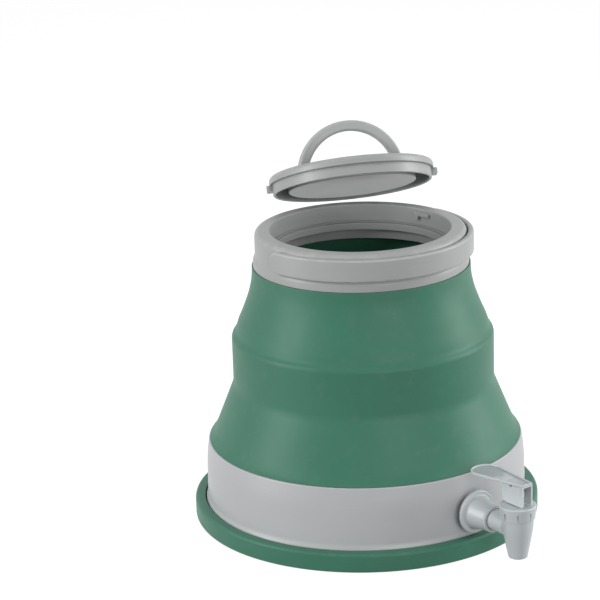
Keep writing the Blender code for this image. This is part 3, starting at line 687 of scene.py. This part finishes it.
upper_skin = piece(
    "bellows_upper_skin", turned(upper_corners, longest=skin_longest), silicone_green
)
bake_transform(upper_skin)
settle(upper_skin, None, "green_silicone", "bellows_upper_fold", seams=seams)

# %% [markdown]
# ## The collar
# The collar clamps the bellows with its skirt, carries the handle on its outer wall
# and has the mouth in its middle. Inside the mouth is a narrow ledge for the seal.
# One section holds all of that, because the real collar is one moulding. The rim's
# outer edge is softly rounded, and a short slope leads from the wall out to the skirt.

# %% Collar
collar_radius = 84.3
collar_bore = collar_radius - 2.7
rim_round = 4.4
rim_roof = rim_top - 3.5
mouth_radius = 72.0
mouth_outer = mouth_radius + 2.5
throat_radius = 68.8
throat_outer = throat_radius + 2.3
ledge_top = rim_top - 15.1
ledge_under = ledge_top - 2.0
throat_bottom = ledge_top - 5.9
skirt_top = skirt_bottom + 7.3
skirt_face = 4.8
skirt_edge = skirt_radius - 0.7
skirt_bore = skirt_edge - 2.2
collar_corners = [
    (mouth_radius, rim_top, 0.9), (collar_radius, rim_top, rim_round),
    (collar_radius, skirt_top, 1.6), (skirt_edge, skirt_bottom + skirt_face, 1.4),
    (skirt_edge, skirt_foot, 0.3), (skirt_bore, skirt_foot), (skirt_bore, skirt_bottom + 1.5),
    (collar_bore, skirt_top - 2.0), (collar_bore, rim_roof), (mouth_outer, rim_roof),
    (mouth_outer, ledge_under), (throat_outer, ledge_under), (throat_outer, throat_bottom, 0.4),
    (throat_radius, throat_bottom, 0.4), (throat_radius, ledge_top, 0.5),
    (mouth_radius, ledge_top),
]
collar = piece("collar_ring", turned(collar_corners), collar_plastic)
print(f"the ledge lies {rim_top - ledge_top:.1f} below the rim")

# %% [markdown]
# ## The catches
# Two catches inside the mouth hold the lid's lugs when the lid is turned. Each is a
# level bar with a stop at one end. Both are short arcs, so the helper that spins a whole
# ring makes them too, and they are joined to the collar.

# %% Catches
catch_bearing = math.radians(6.6)
catch_inner = mouth_radius - 2.6
catch_outer = mouth_radius + 1.0
catch_top = rim_top - 3.0
catch_bottom = catch_top - 3.5
bar_low = catch_bottom + 0.4
bar_length = 14.6
stop_low = catch_bottom - 2.7
stop_length = 3.2
for turn in (0, math.pi):
    for length, low in ((bar_length, bar_low), (stop_length, stop_low)):
        span = length / catch_inner
        hook = [
            (catch_inner, low, 0.4), (catch_outer, low), (catch_outer, catch_top),
            (catch_inner, catch_top, 0.4),
        ]
        start = catch_bearing + turn - span
        carve(collar, turned(hook, steps=8, start=start, span=span), "UNION")
settle(collar, "collar", "collar_grey", "collar")

# %% [markdown]
# ## The seal
# A flat ring of rubber lies on the ledge, and the lid's lugs press the lid onto it. It
# could be left as the frame has it, but its edges catch the light in the open mouth, so
# it is turned like the collar, with its edges just broken.

# %% Seal
seal_outer = 71.7
seal_inner = 69.1
seal_low = ledge_top + 0.3
seal_high = seal_low + 1.2
seal_round = 0.3
seal_corners = [
    (seal_outer, seal_low, seal_round), (seal_outer, seal_high, seal_round),
    (seal_inner, seal_high, seal_round), (seal_inner, seal_low, seal_round),
]
seal = piece("seal_ring", turned(seal_corners), rubber_grey)
settle(seal, "seal", "seal_rubber", "mouth_seal")

# %% [markdown]
# ## The carry handle
# The handle is a flat band bent round the front of the collar, with round ends on two
# pivots. Flat, it is a long strip with half circles at its ends: a circle whose halves
# are pulled apart. The strip is cut into short lengths, given its thickness and round
# edges, and then each point is turned round the collar's axis by its distance along
# the strip. Bending a finished strip keeps its edges even.

# %% A flat strip with round ends
RIM_ANGLE = 1.2


def stadium(bm, length, width, segments):
    """A flat face like a running track, along X round the origin."""
    bmesh.ops.create_circle(bm, cap_ends=True, segments=segments, radius=width / 2 * MM)
    for side in (-1, 1):
        half = [v for v in bm.verts if v.co.x * side > WELD]
        bmesh.ops.translate(bm, verts=half, vec=(side * length / 2 * MM, 0, 0))


def rounded_slab(bm, thickness, edge):
    """Give the faces a thickness upwards and round the rim above and below."""
    sides = bmesh.ops.extrude_face_region(bm, geom=list(bm.faces))
    top = [v for v in sides["geom"] if isinstance(v, bmesh.types.BMVert)]
    bmesh.ops.translate(bm, verts=top, vec=(0, 0, thickness * MM))
    bmesh.ops.recalc_face_normals(bm, faces=bm.faces)
    rim = [e for e in bm.edges if len(e.link_faces) == 2 and e.calc_face_angle() > RIM_ANGLE]
    bmesh.ops.bevel(
        bm, geom=rim, offset=edge * MM, segments=EDGE_SEGMENTS - 1, profile=0.5,
        affect="EDGES", material=-1,
    )


print("a strip can be drawn and rounded")

# %% Bend a strip round an axis
def bend(bm, radius, slices):
    """Cut a strip along X into short lengths and wrap it round the Z axis."""
    reach = max(v.co.x for v in bm.verts)
    for step in range(1, slices):
        at = -reach + 2 * reach * step / slices
        bmesh.ops.bisect_plane(
            bm, geom=list(bm.verts) + list(bm.edges) + list(bm.faces),
            plane_co=(at, 0, 0), plane_no=(1, 0, 0),
        )
    for vert in bm.verts:
        angle = vert.co.x / (radius * MM) - math.radians(90)
        out = radius * MM + vert.co.z
        vert.co = Vector((out * math.cos(angle), out * math.sin(angle), vert.co.y))


print("a strip can be bent")

# %% Carry handle
handle_inner = 85.3
handle_outer = 89.9
handle_width = 17.4
handle_pivot = 225.3
handle_edge = 1.6
strip = bmesh.new()
stadium(strip, math.pi * handle_inner, handle_width, segments=48)
rounded_slab(strip, handle_outer - handle_inner, handle_edge)
bend(strip, handle_inner, slices=110)
clean(strip)
handle = piece(
    "handle_band", strip, band_plastic, Matrix.Translation((0, 0, handle_pivot * MM))
)
settle(handle, "handle", "collar_grey", "carry_handle")

# %% [markdown]
# ## The lid
# The lid is a flat rim over a plain skirt, with a deep pan in its middle for the
# folded bail. Between the skirt and the pan is a groove that the underside shows. It
# is turned like the collar, in its own frame: the X axis is the line of the bail's
# pins and the Z axis is square to the lid. That frame is then set where the lifted
# lid is held.

# %% Lid
lid_centre = Vector((0.065564, 0.078137, 0.2545))
lid_x = Vector((0.828624, -0.559009, 0.029861))
lid_normal = Vector((0.19901, 0.34401, 0.91763))
lid_y = lid_normal.cross(lid_x)
lid_place = Matrix.Translation(lid_centre) @ Matrix(
    (lid_x, lid_y, lid_normal)
).transposed().to_4x4()

flange = 68.9
flange_high = 4.5
flange_low = -2.5
skirt = 66.6
skirt_low = -11.1
skirt_inner = skirt - 2.2
pan = 53.4
pan_low = -10.3
pan_inner = pan - 2.2
pan_floor = pan_low + 2.0
groove_top = flange_high - 2.5
lid_corners = [
    (0, pan_floor), (pan_inner, pan_floor, 1.0), (pan_inner, flange_high, 1.0),
    (flange, flange_high, 3.8), (flange, flange_low, 0.8), (skirt, flange_low),
    (skirt, skirt_low, 0.8), (skirt_inner, skirt_low, 0.8), (skirt_inner, groove_top, 0.8),
    (pan, groove_top, 0.8), (pan, pan_low, 1.0), (0, pan_low),
]
lid = piece("lid_cap", turned(lid_corners), lid_plastic)
print(f"the lid's pan is {flange_high - pan_floor:.1f} deep")

# %% [markdown]
# ## Lugs and tooth
# Two lugs on the skirt go under the catches in the mouth, and a small tooth on the rim
# shows where the lid is closed. They are short arcs again, joined to the lid while it
# still lies flat in its own frame, where their bearings are easy to give.

# %% Lugs and tooth
lug_bearings = (-5.8, 174.2)
lug_radius = 71.6
lug_low = -8.0
lug_span = 9.0 / lug_radius
lug_inner = skirt - 1.0
lug_step = flange - 1.2
lug_high = flange_low + 1.0
lug = [
    (lug_inner, lug_low, 0.4), (lug_radius, lug_low, 1.0), (lug_radius, flange_low, 0.6),
    (lug_step, flange_low), (lug_step, lug_high), (lug_inner, lug_high),
]
for bearing in lug_bearings:
    start = math.radians(bearing) - lug_span / 2
    carve(lid, turned(lug, steps=6, start=start, span=lug_span), "UNION")

tooth_bearing = math.radians(8)
tooth_span = 5.5 / flange
tooth_inner = flange - 3.0
tooth_outer = flange + 0.9
tooth = [
    (tooth_inner, flange_low + 1.0), (tooth_outer, flange_low + 1.0, 0.4),
    (tooth_outer, flange_high - 0.8, 0.8), (tooth_inner, flange_high - 0.3),
]
start = tooth_bearing - tooth_span / 2
carve(lid, turned(tooth, steps=6, start=start, span=tooth_span), "UNION")
print(len(lug_bearings), "lugs and a tooth joined")

# %% [markdown]
# ## Bosses for the bail's pins
# The bail turns on two pins, each in a round boss on the wall of the pan. A boss is
# turned upright, laid over along X and joined. The hole for the pin is cut afterwards,
# so that it also goes through what the boss was joined to. Then the lid is moved to
# where the picture shows it.

# %% Pin bosses
boss_radius = 4.3
boss_inner = 46.2
boss_outer = 52.3
pin_hole = 2.3
pin_inner = 44.0
pin_outer = 52.2
for side in (-1, 1):
    across = Matrix.Rotation(math.radians(90) * side, 4, "Y")
    boss = [
        (0, boss_inner), (boss_radius, boss_inner, 0.6), (boss_radius, boss_outer),
        (0, boss_outer),
    ]
    hole = [(0, pin_inner), (pin_hole, pin_inner), (pin_hole, pin_outer), (0, pin_outer)]
    carve(lid, turned(boss, steps=40), "UNION", across)
    carve(lid, turned(hole, steps=40), "DIFFERENCE", across)
lid.data.transform(lid_place)
settle(lid, "lid", "collar_grey", "lid")

# %% [markdown]
# ## The bail
# The bail is a half ring of flat bar that stands up from the lid's pan. It is bent
# like the handle, but stands on its pins, so the bent strip is turned upright.

# %% Bail
bail_inner = 36.2
bail_outer = 45.0
bail_width = 11.0
bail_edge = 2.4
bail_lean = math.radians(10)
strip = bmesh.new()
stadium(strip, math.pi * bail_inner, bail_width, segments=40)
rounded_slab(strip, bail_outer - bail_inner, bail_edge)
bend(strip, bail_inner, slices=80)
clean(strip)
upright = Matrix.Rotation(bail_lean, 4, "X") @ Matrix.Rotation(math.radians(-90), 4, "X")
bail = piece("lid_grip", strip, lid_plastic, lid_place @ upright)
settle(bail, "bail", "collar_grey", "lid_bail")

# %% [markdown]
# ## The tap's sleeve
# A flanged bush passes through the tub's wall. Outside it narrows like a funnel to a
# raised ring, into which the barrel's tube is pushed. Its axis is the tap's inlet.

# %% Sleeve
tap_bore = 6.0
shank_end = 115.3
bush_radius = 17.1
bush_back = 134.8
bush_front = 137.2
funnel_wide = 13.4
funnel_bend = 12.4
funnel_narrow = 10.2
funnel_bend_at = 141.0
mouth_ring = 10.9
mouth_ring_back = 154.6
mouth_ring_front = 156.2
socket_radius = 8.3
socket_floor = 144.2
sleeve_corners = [
    (tap_bore, shank_end), (shank_radius, shank_end, 0.5), (shank_radius, bush_back),
    (bush_radius, bush_back, 0.3), (bush_radius, bush_front, 1.2),
    (funnel_wide, bush_front, 1.6), (funnel_bend, funnel_bend_at, 3.0),
    (funnel_narrow, mouth_ring_back, 0.3), (mouth_ring, mouth_ring_back, 0.3),
    (mouth_ring, mouth_ring_front, 0.5), (socket_radius, mouth_ring_front, 0.3),
    (socket_radius, socket_floor), (tap_bore, socket_floor),
]
sleeve = piece("tap_bush", turned(sleeve_corners, MEDIUM), tap_plastic, along_inlet)
settle(sleeve, "base", "tap_grey", "tap_sleeve")

# %% [markdown]
# ## The tap's barrel
# The barrel hangs on its tube and narrows to the outlet. Tube and barrel are one
# moulding, so they are joined, and the chamber and the bore are cut afterwards.

# %% Barrel
barrel_reach = 182.4
barrel_place = tap_turn @ Matrix.Translation((0, -barrel_reach * MM, 0))
outlet_radius = 7.4
outlet_low = 13.0
barrel_radius = 12.2
barrel_widest = 38.8
barrel_step = 44.6
spigot_radius = 11.6
spigot_high = 52.2
barrel_corners = [
    (0, outlet_low), (outlet_radius, outlet_low, 0.8), (barrel_radius, barrel_widest, 6.0),
    (barrel_radius, barrel_step, 0.2), (spigot_radius, barrel_step),
    (spigot_radius, spigot_high), (0, spigot_high),
]
barrel = piece("tap_barrel", turned(barrel_corners, MEDIUM), tap_plastic, barrel_place)
print(f"the outlet is {outlet_low:.0f} above the ground")

# %% Tube, chamber and bore
tube_radius = 8.0
tube_end = 144.5
tube_corners = [
    (0, tube_end), (tube_radius, tube_end, 0.4), (tube_radius, barrel_reach), (0, barrel_reach),
]
drain_radius = 5.2
drain_low = outlet_low - 2.0
drain_high = 27.2
chamber_radius = 8.2
chamber_low = 28.4
chamber_high = 54.0
chamber_corners = [
    (0, drain_low), (drain_radius, drain_low), (drain_radius, drain_high),
    (chamber_radius, chamber_low), (chamber_radius, chamber_high), (0, chamber_high),
]
bore_end = tube_end - 2.5
bore_corners = [(0, bore_end), (tap_bore, bore_end), (tap_bore, barrel_reach), (0, barrel_reach)]
carve(barrel, turned(tube_corners, MEDIUM), "UNION", along_inlet)
carve(barrel, turned(chamber_corners, MEDIUM), "DIFFERENCE", barrel_place)
carve(barrel, turned(bore_corners, MEDIUM), "DIFFERENCE", along_inlet)
settle(barrel, "base", "tap_grey", "tap_body")

# %% [markdown]
# ## The tap's cap
# A smooth cap closes the barrel. It is a little wider at its top, and narrow upright
# grooves in its lower part give wet fingers a hold. One small block is copied round
# the axis, and all the copies are cut away in one go.

# %% Cap
cap_low = 44.9
cap_high = 55.8
cap_under = 52.5
cap_foot_radius = 13.2
cap_head_radius = 14.3
cap_bore = 11.9
stem_hole = 3.6
cap_corners = [
    (cap_foot_radius, cap_low, 0.4), (cap_head_radius, cap_high, 1.3),
    (stem_hole, cap_high, 0.3), (stem_hole, cap_under), (cap_bore, cap_under),
    (cap_bore, cap_low),
]
bonnet = piece("tap_cap", turned(cap_corners, MEDIUM), tap_plastic, barrel_place)
print(f"the cap is {cap_high - cap_low:.1f} high")

# %% Grooves
groove_count = 8
groove_bearing = math.radians(227)
groove_half = 0.6
groove_floor = 12.7
groove_reach = 15.0
groove_low = cap_low - 1.0
groove_high = cap_low + 7.0


def block(bm, low, high):
    """Add a box between two corners, in millimetres."""
    made = bmesh.ops.create_cube(bm, size=1)["verts"]
    sizes = [(b - a) * MM for a, b in zip(low, high)]
    middle = [(a + b) / 2 * MM for a, b in zip(low, high)]
    bmesh.ops.scale(bm, verts=made, vec=sizes)
    bmesh.ops.translate(bm, verts=made, vec=middle)
    return made


grooves = bmesh.new()
for number in range(groove_count):
    made = block(
        grooves, (groove_floor, -groove_half, groove_low), (groove_reach, groove_half, groove_high)
    )
    bearing = groove_bearing + math.tau * number / groove_count
    bmesh.ops.rotate(grooves, verts=made, matrix=Matrix.Rotation(bearing, 3, "Z"))
carve(bonnet, grooves, "DIFFERENCE", barrel_place)
settle(bonnet, "base", "tap_grey", "tap_bonnet")

# %% [markdown]
# ## The lever
# The lever is a thin plate with a raised lip round its upper face, over a box that is
# open below and at its outer end. The plate's outline widens to a round paddle. It
# begins as a circle whose outer half is gathered into a short straight end. The box's
# lower back corner is rounded, because the box rolls on the cap when it is pressed.

# %% Lever plate
lever_plate = 72.6
lever_thick = 2.0
lever_edge = 0.55
lever_half = 5.2
lever_outer = -10.7
lever_slope = math.radians(1.4)
paddle_middle = 34.6
paddle_radius = 12.3
plate = bmesh.new()
bmesh.ops.create_circle(plate, cap_ends=True, segments=64, radius=paddle_radius * MM)
for vert in [v for v in plate.verts if v.co.y < -WELD]:
    side = math.copysign(lever_half, vert.co.x) if abs(vert.co.x) > WELD else 0
    vert.co.x = side * MM
    vert.co.y = (lever_outer - paddle_middle) * MM
bmesh.ops.remove_doubles(plate, verts=plate.verts, dist=WELD)
bmesh.ops.translate(plate, verts=plate.verts, vec=(0, paddle_middle * MM, lever_plate * MM))
rounded_slab(plate, lever_thick, lever_edge)
print("the lever's plate has", len(plate.faces), "faces")

# %% Raised lip of the plate
lip_width = 0.5
lip_slope = 0.35
lip_depth = 1.2
broad = 100 * MM * MM
top = max(plate.faces, key=lambda f: f.calc_center_median().z * (f.calc_area() > broad))
bmesh.ops.inset_region(plate, faces=[top], thickness=lip_width * MM)
bmesh.ops.inset_region(plate, faces=[top], thickness=lip_slope * MM, depth=-lip_depth * MM)
hinge_line = Vector((0, 0, lever_plate * MM))
bmesh.ops.rotate(
    plate, verts=plate.verts, cent=hinge_line, matrix=Matrix.Rotation(-lever_slope, 3, "X")
)
lever = piece("tap_lever_plate", plate, tap_plastic, barrel_place)
print(f"its lip stands {lip_depth:.1f} above the plate")

# %% Lever box
lever_low = 56.8
lever_inner = 11.3
pivot_height = 63.2
back_round = 4.0
front_round = 1.0
box = bmesh.new()
block(box, (-lever_half, lever_outer, lever_low), (lever_half, lever_inner, lever_plate + 0.6))
level = [e for e in box.edges if abs(e.verts[0].co.x - e.verts[1].co.x) > lever_half * MM]
for back, rounding in ((True, back_round), (False, front_round)):
    corner = [
        e for e in level
        if e.is_valid and e.verts[0].co.z < pivot_height * MM
        and (e.verts[0].co.y > 0) == back
    ]
    bmesh.ops.bevel(
        box, geom=corner, offset=rounding * MM, segments=6, profile=0.5, affect="EDGES",
        material=-1,
    )
carve(lever, box, "UNION", barrel_place)
print(f"the box rolls on a corner of {back_round:.0f}")

# %% Hollow and notch
box_wall = 1.5
hollow_half = lever_half - box_wall
hollow = bmesh.new()
block(
    hollow, (-hollow_half, lever_outer - 2.0, lever_low - 2.0),
    (hollow_half, lever_inner - box_wall, lever_plate - 0.5),
)
carve(lever, hollow, "DIFFERENCE", barrel_place)
notch_low = 70.5
notch_high = 72.9
notch_front = 0.8
notch_back = 3.4
notch = bmesh.new()
block(
    notch, (-paddle_radius, notch_front, notch_low),
    (box_wall + 0.2 - lever_half, notch_back, notch_high),
)
carve(lever, notch, "DIFFERENCE", barrel_place)
settle(lever, "tap_lever", "tap_grey", "tap_lever")

# %% [markdown]
# ## Small soft pieces of the tap
# The gasket outside the wall, the washer inside it and the soft seat in the barrel
# are plain rings that hardly show, but each is rubber and looks it.

# %% Gasket
rubber_bore = 9.8
gasket_radius = 12.7
gasket_inner = 127.4
gasket_outer = 134.5
gasket_gap = 0.2
gasket_corners = [
    (rubber_bore, gasket_inner), (gasket_radius, gasket_inner),
    (gasket_radius, gasket_outer, 0.4), (rubber_bore, gasket_outer),
]
gasket = piece("gasket_ring", turned(gasket_corners, MEDIUM), rubber_grey, along_inlet)
tub_body = [(0, tub_bottom), (tub_radius + gasket_gap, tub_bottom)]
tub_body += [(radius + gasket_gap, height, rounding) for radius, height, rounding in outside]
tub_body += [(0, tub_height)]
carve(gasket, turned(tub_body), "DIFFERENCE")
settle(gasket, "base", "seal_rubber", "tap_gasket")

# %% Washer
washer_radius = 14.5
washer_inner = 123.2
washer_outer = 126.2
washer_corners = [
    (rubber_bore, washer_inner, 0.3), (washer_radius, washer_inner, 0.6),
    (washer_radius, washer_outer, 0.3), (rubber_bore, washer_outer),
]
washer = piece("washer_ring", turned(washer_corners, MEDIUM), rubber_grey, along_inlet)
settle(washer, "base", "seal_rubber", "tap_washer")

# %% Seat
plug_radius = 5.8
plug_low = 28.7
seat_radius = 7.6
seat_low = 30.3
seat_high = 33.5
stem_socket = 3.5
stem_end = 31.0
seat_corners = [
    (0, plug_low), (plug_radius, plug_low, 0.4), (seat_radius, seat_low, 0.4),
    (seat_radius, seat_high, 0.3), (stem_socket, seat_high), (stem_socket, stem_end),
    (0, stem_end),
]
seat = piece("seat_plug", turned(seat_corners, MEDIUM), rubber_grey, barrel_place)
settle(seat, "tap_seat", "seal_rubber", "tap_seat")

# %% [markdown]
# ## Finishes for the frame's own pieces
# The clamp rings, pins, nut and stem keep their CAD shapes, because they are hidden
# or tiny. They still get the finish of the moulding that they belong to.

# %% Dress the frame's pieces
grey_nodes = (
    "base_clamp_ring", "neck_clamp_ring", "handle_pin_left", "handle_pin_right",
    "lid_bail_pin_left", "lid_bail_pin_right",
)
for name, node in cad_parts.items():
    material = collar_plastic if name in grey_nodes else tap_plastic
    if not node.hide_render:
        node.data.materials.clear()
        node.data.materials.append(material)
        print("dressed", name)

# %% [markdown]
# ## The background
# A product picture has a white floor that runs into a white background. A world that is
# white for everything would flood the object with light. So it is white only for what
# the camera sees, also in a mirror or through glass, and a weak fill for the rest.

# %% World
world = bpy.data.worlds.new("studio")
bpy.context.scene.world = world
FILL = 0.30
sky = Recipe(world)
fill = sky.node("ShaderNodeBackground", {}, {"Color": (1, 1, 1, 1), "Strength": FILL})
white = sky.node("ShaderNodeBackground", {}, {"Color": (1, 1, 1, 1), "Strength": 1.0})
both = sky.node("ShaderNodeMixShader", {}, {0: sky.seen(), 1: fill, 2: white})
sky.finish(both, "ShaderNodeOutputWorld")
print("the world lights the carrier with", FILL, "and looks white")

# %% [markdown]
# ## The floor
# A plain white floor would turn grey away from the lamps, and one that only glows would
# show no shadow. This one glows nearly white by itself and takes the rest from the
# lamps, so it still shows a faint shadow. To the carrier it is a dull grey paint that
# throws little light back. It lies a hair below the foot, so that the two don't flicker.

# %% Floor
FLOOR_HALF = 4.0
FLOOR_DROP = 0.0002
PAINT = 0.22
GLOW = 0.86
SHADOWED = 0.38
floor_bm = bmesh.new()
bmesh.ops.create_grid(floor_bm, x_segments=1, y_segments=1, size=FLOOR_HALF)
bmesh.ops.translate(floor_bm, verts=floor_bm.verts, vec=(0, 0, -FLOOR_DROP))
floor_recipe = Recipe(bpy.data.materials.new("floor_white"))
paint = floor_recipe.node("ShaderNodeBsdfDiffuse", {}, {"Color": (PAINT, PAINT, PAINT, 1)})
glow = floor_recipe.node("ShaderNodeEmission", {}, {"Strength": GLOW})
faint = floor_recipe.node(
    "ShaderNodeBsdfDiffuse", {}, {"Color": (SHADOWED, SHADOWED, SHADOWED, 1)}
)
lit = floor_recipe.node("ShaderNodeAddShader", {}, {0: glow, 1: faint})
floor_shader = floor_recipe.node(
    "ShaderNodeMixShader", {}, {0: floor_recipe.seen(), 1: paint, 2: lit}
)
floor = piece("floor", floor_bm, floor_recipe.finish(floor_shader), weighted=False)
floor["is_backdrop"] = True
print("the floor is", 2 * FLOOR_HALF, "metres wide")

# %% [markdown]
# ## The lamps
# Large soft lamps stand left and right, where the photograph has its pale bands on the
# bellows. A broad one in front fills the picture, and a weak one above lights the rim.
# Bearings are counted from the camera's side, because that is how the bands are seen.

# %% Lamps
AIM_HEIGHT = 0.13


def lamp(name, bearing, height, distance, width, tall, watts):
    """A soft lamp that stands at a bearing from the camera's side and looks at the carrier."""
    data = bpy.data.lights.new(name, "AREA")
    data.shape = "RECTANGLE"
    data.size, data.size_y, data.energy = width, tall, watts
    made = bpy.data.objects.new(name, data)
    bpy.context.collection.objects.link(made)
    angle = camera_turn + math.radians(bearing - 90)
    made.location = (distance * math.cos(angle), distance * math.sin(angle), height)
    aim = Vector((0, 0, AIM_HEIGHT)) - made.location
    made.rotation_euler = aim.to_track_quat("-Z", "Y").to_euler()
    print(f"{name}: {watts} watts at {bearing} degrees")


lamp("left_box", bearing=-72, height=0.55, distance=1.5, width=0.35, tall=1.1, watts=14)
lamp("right_box", bearing=98, height=0.6, distance=1.5, width=0.5, tall=1.1, watts=14)
lamp("top_box", bearing=0, height=1.9, distance=0.5, width=1.2, tall=1.2, watts=4)
lamp("front_box", bearing=24, height=0.6, distance=2.6, width=1.4, tall=1.2, watts=23)
bpy.context.scene.view_settings.view_transform = "Standard"

# %% Measure and finish
bpy.context.view_layer.update()
visual_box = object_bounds()
sizes = {
    "cad": [list(corner) for corner in cad_box],
    "visual": [list(corner) for corner in visual_box],
}
for kind, corners in sizes.items():
    print(kind, [[round(v, 4) for v in corner] for corner in corners])
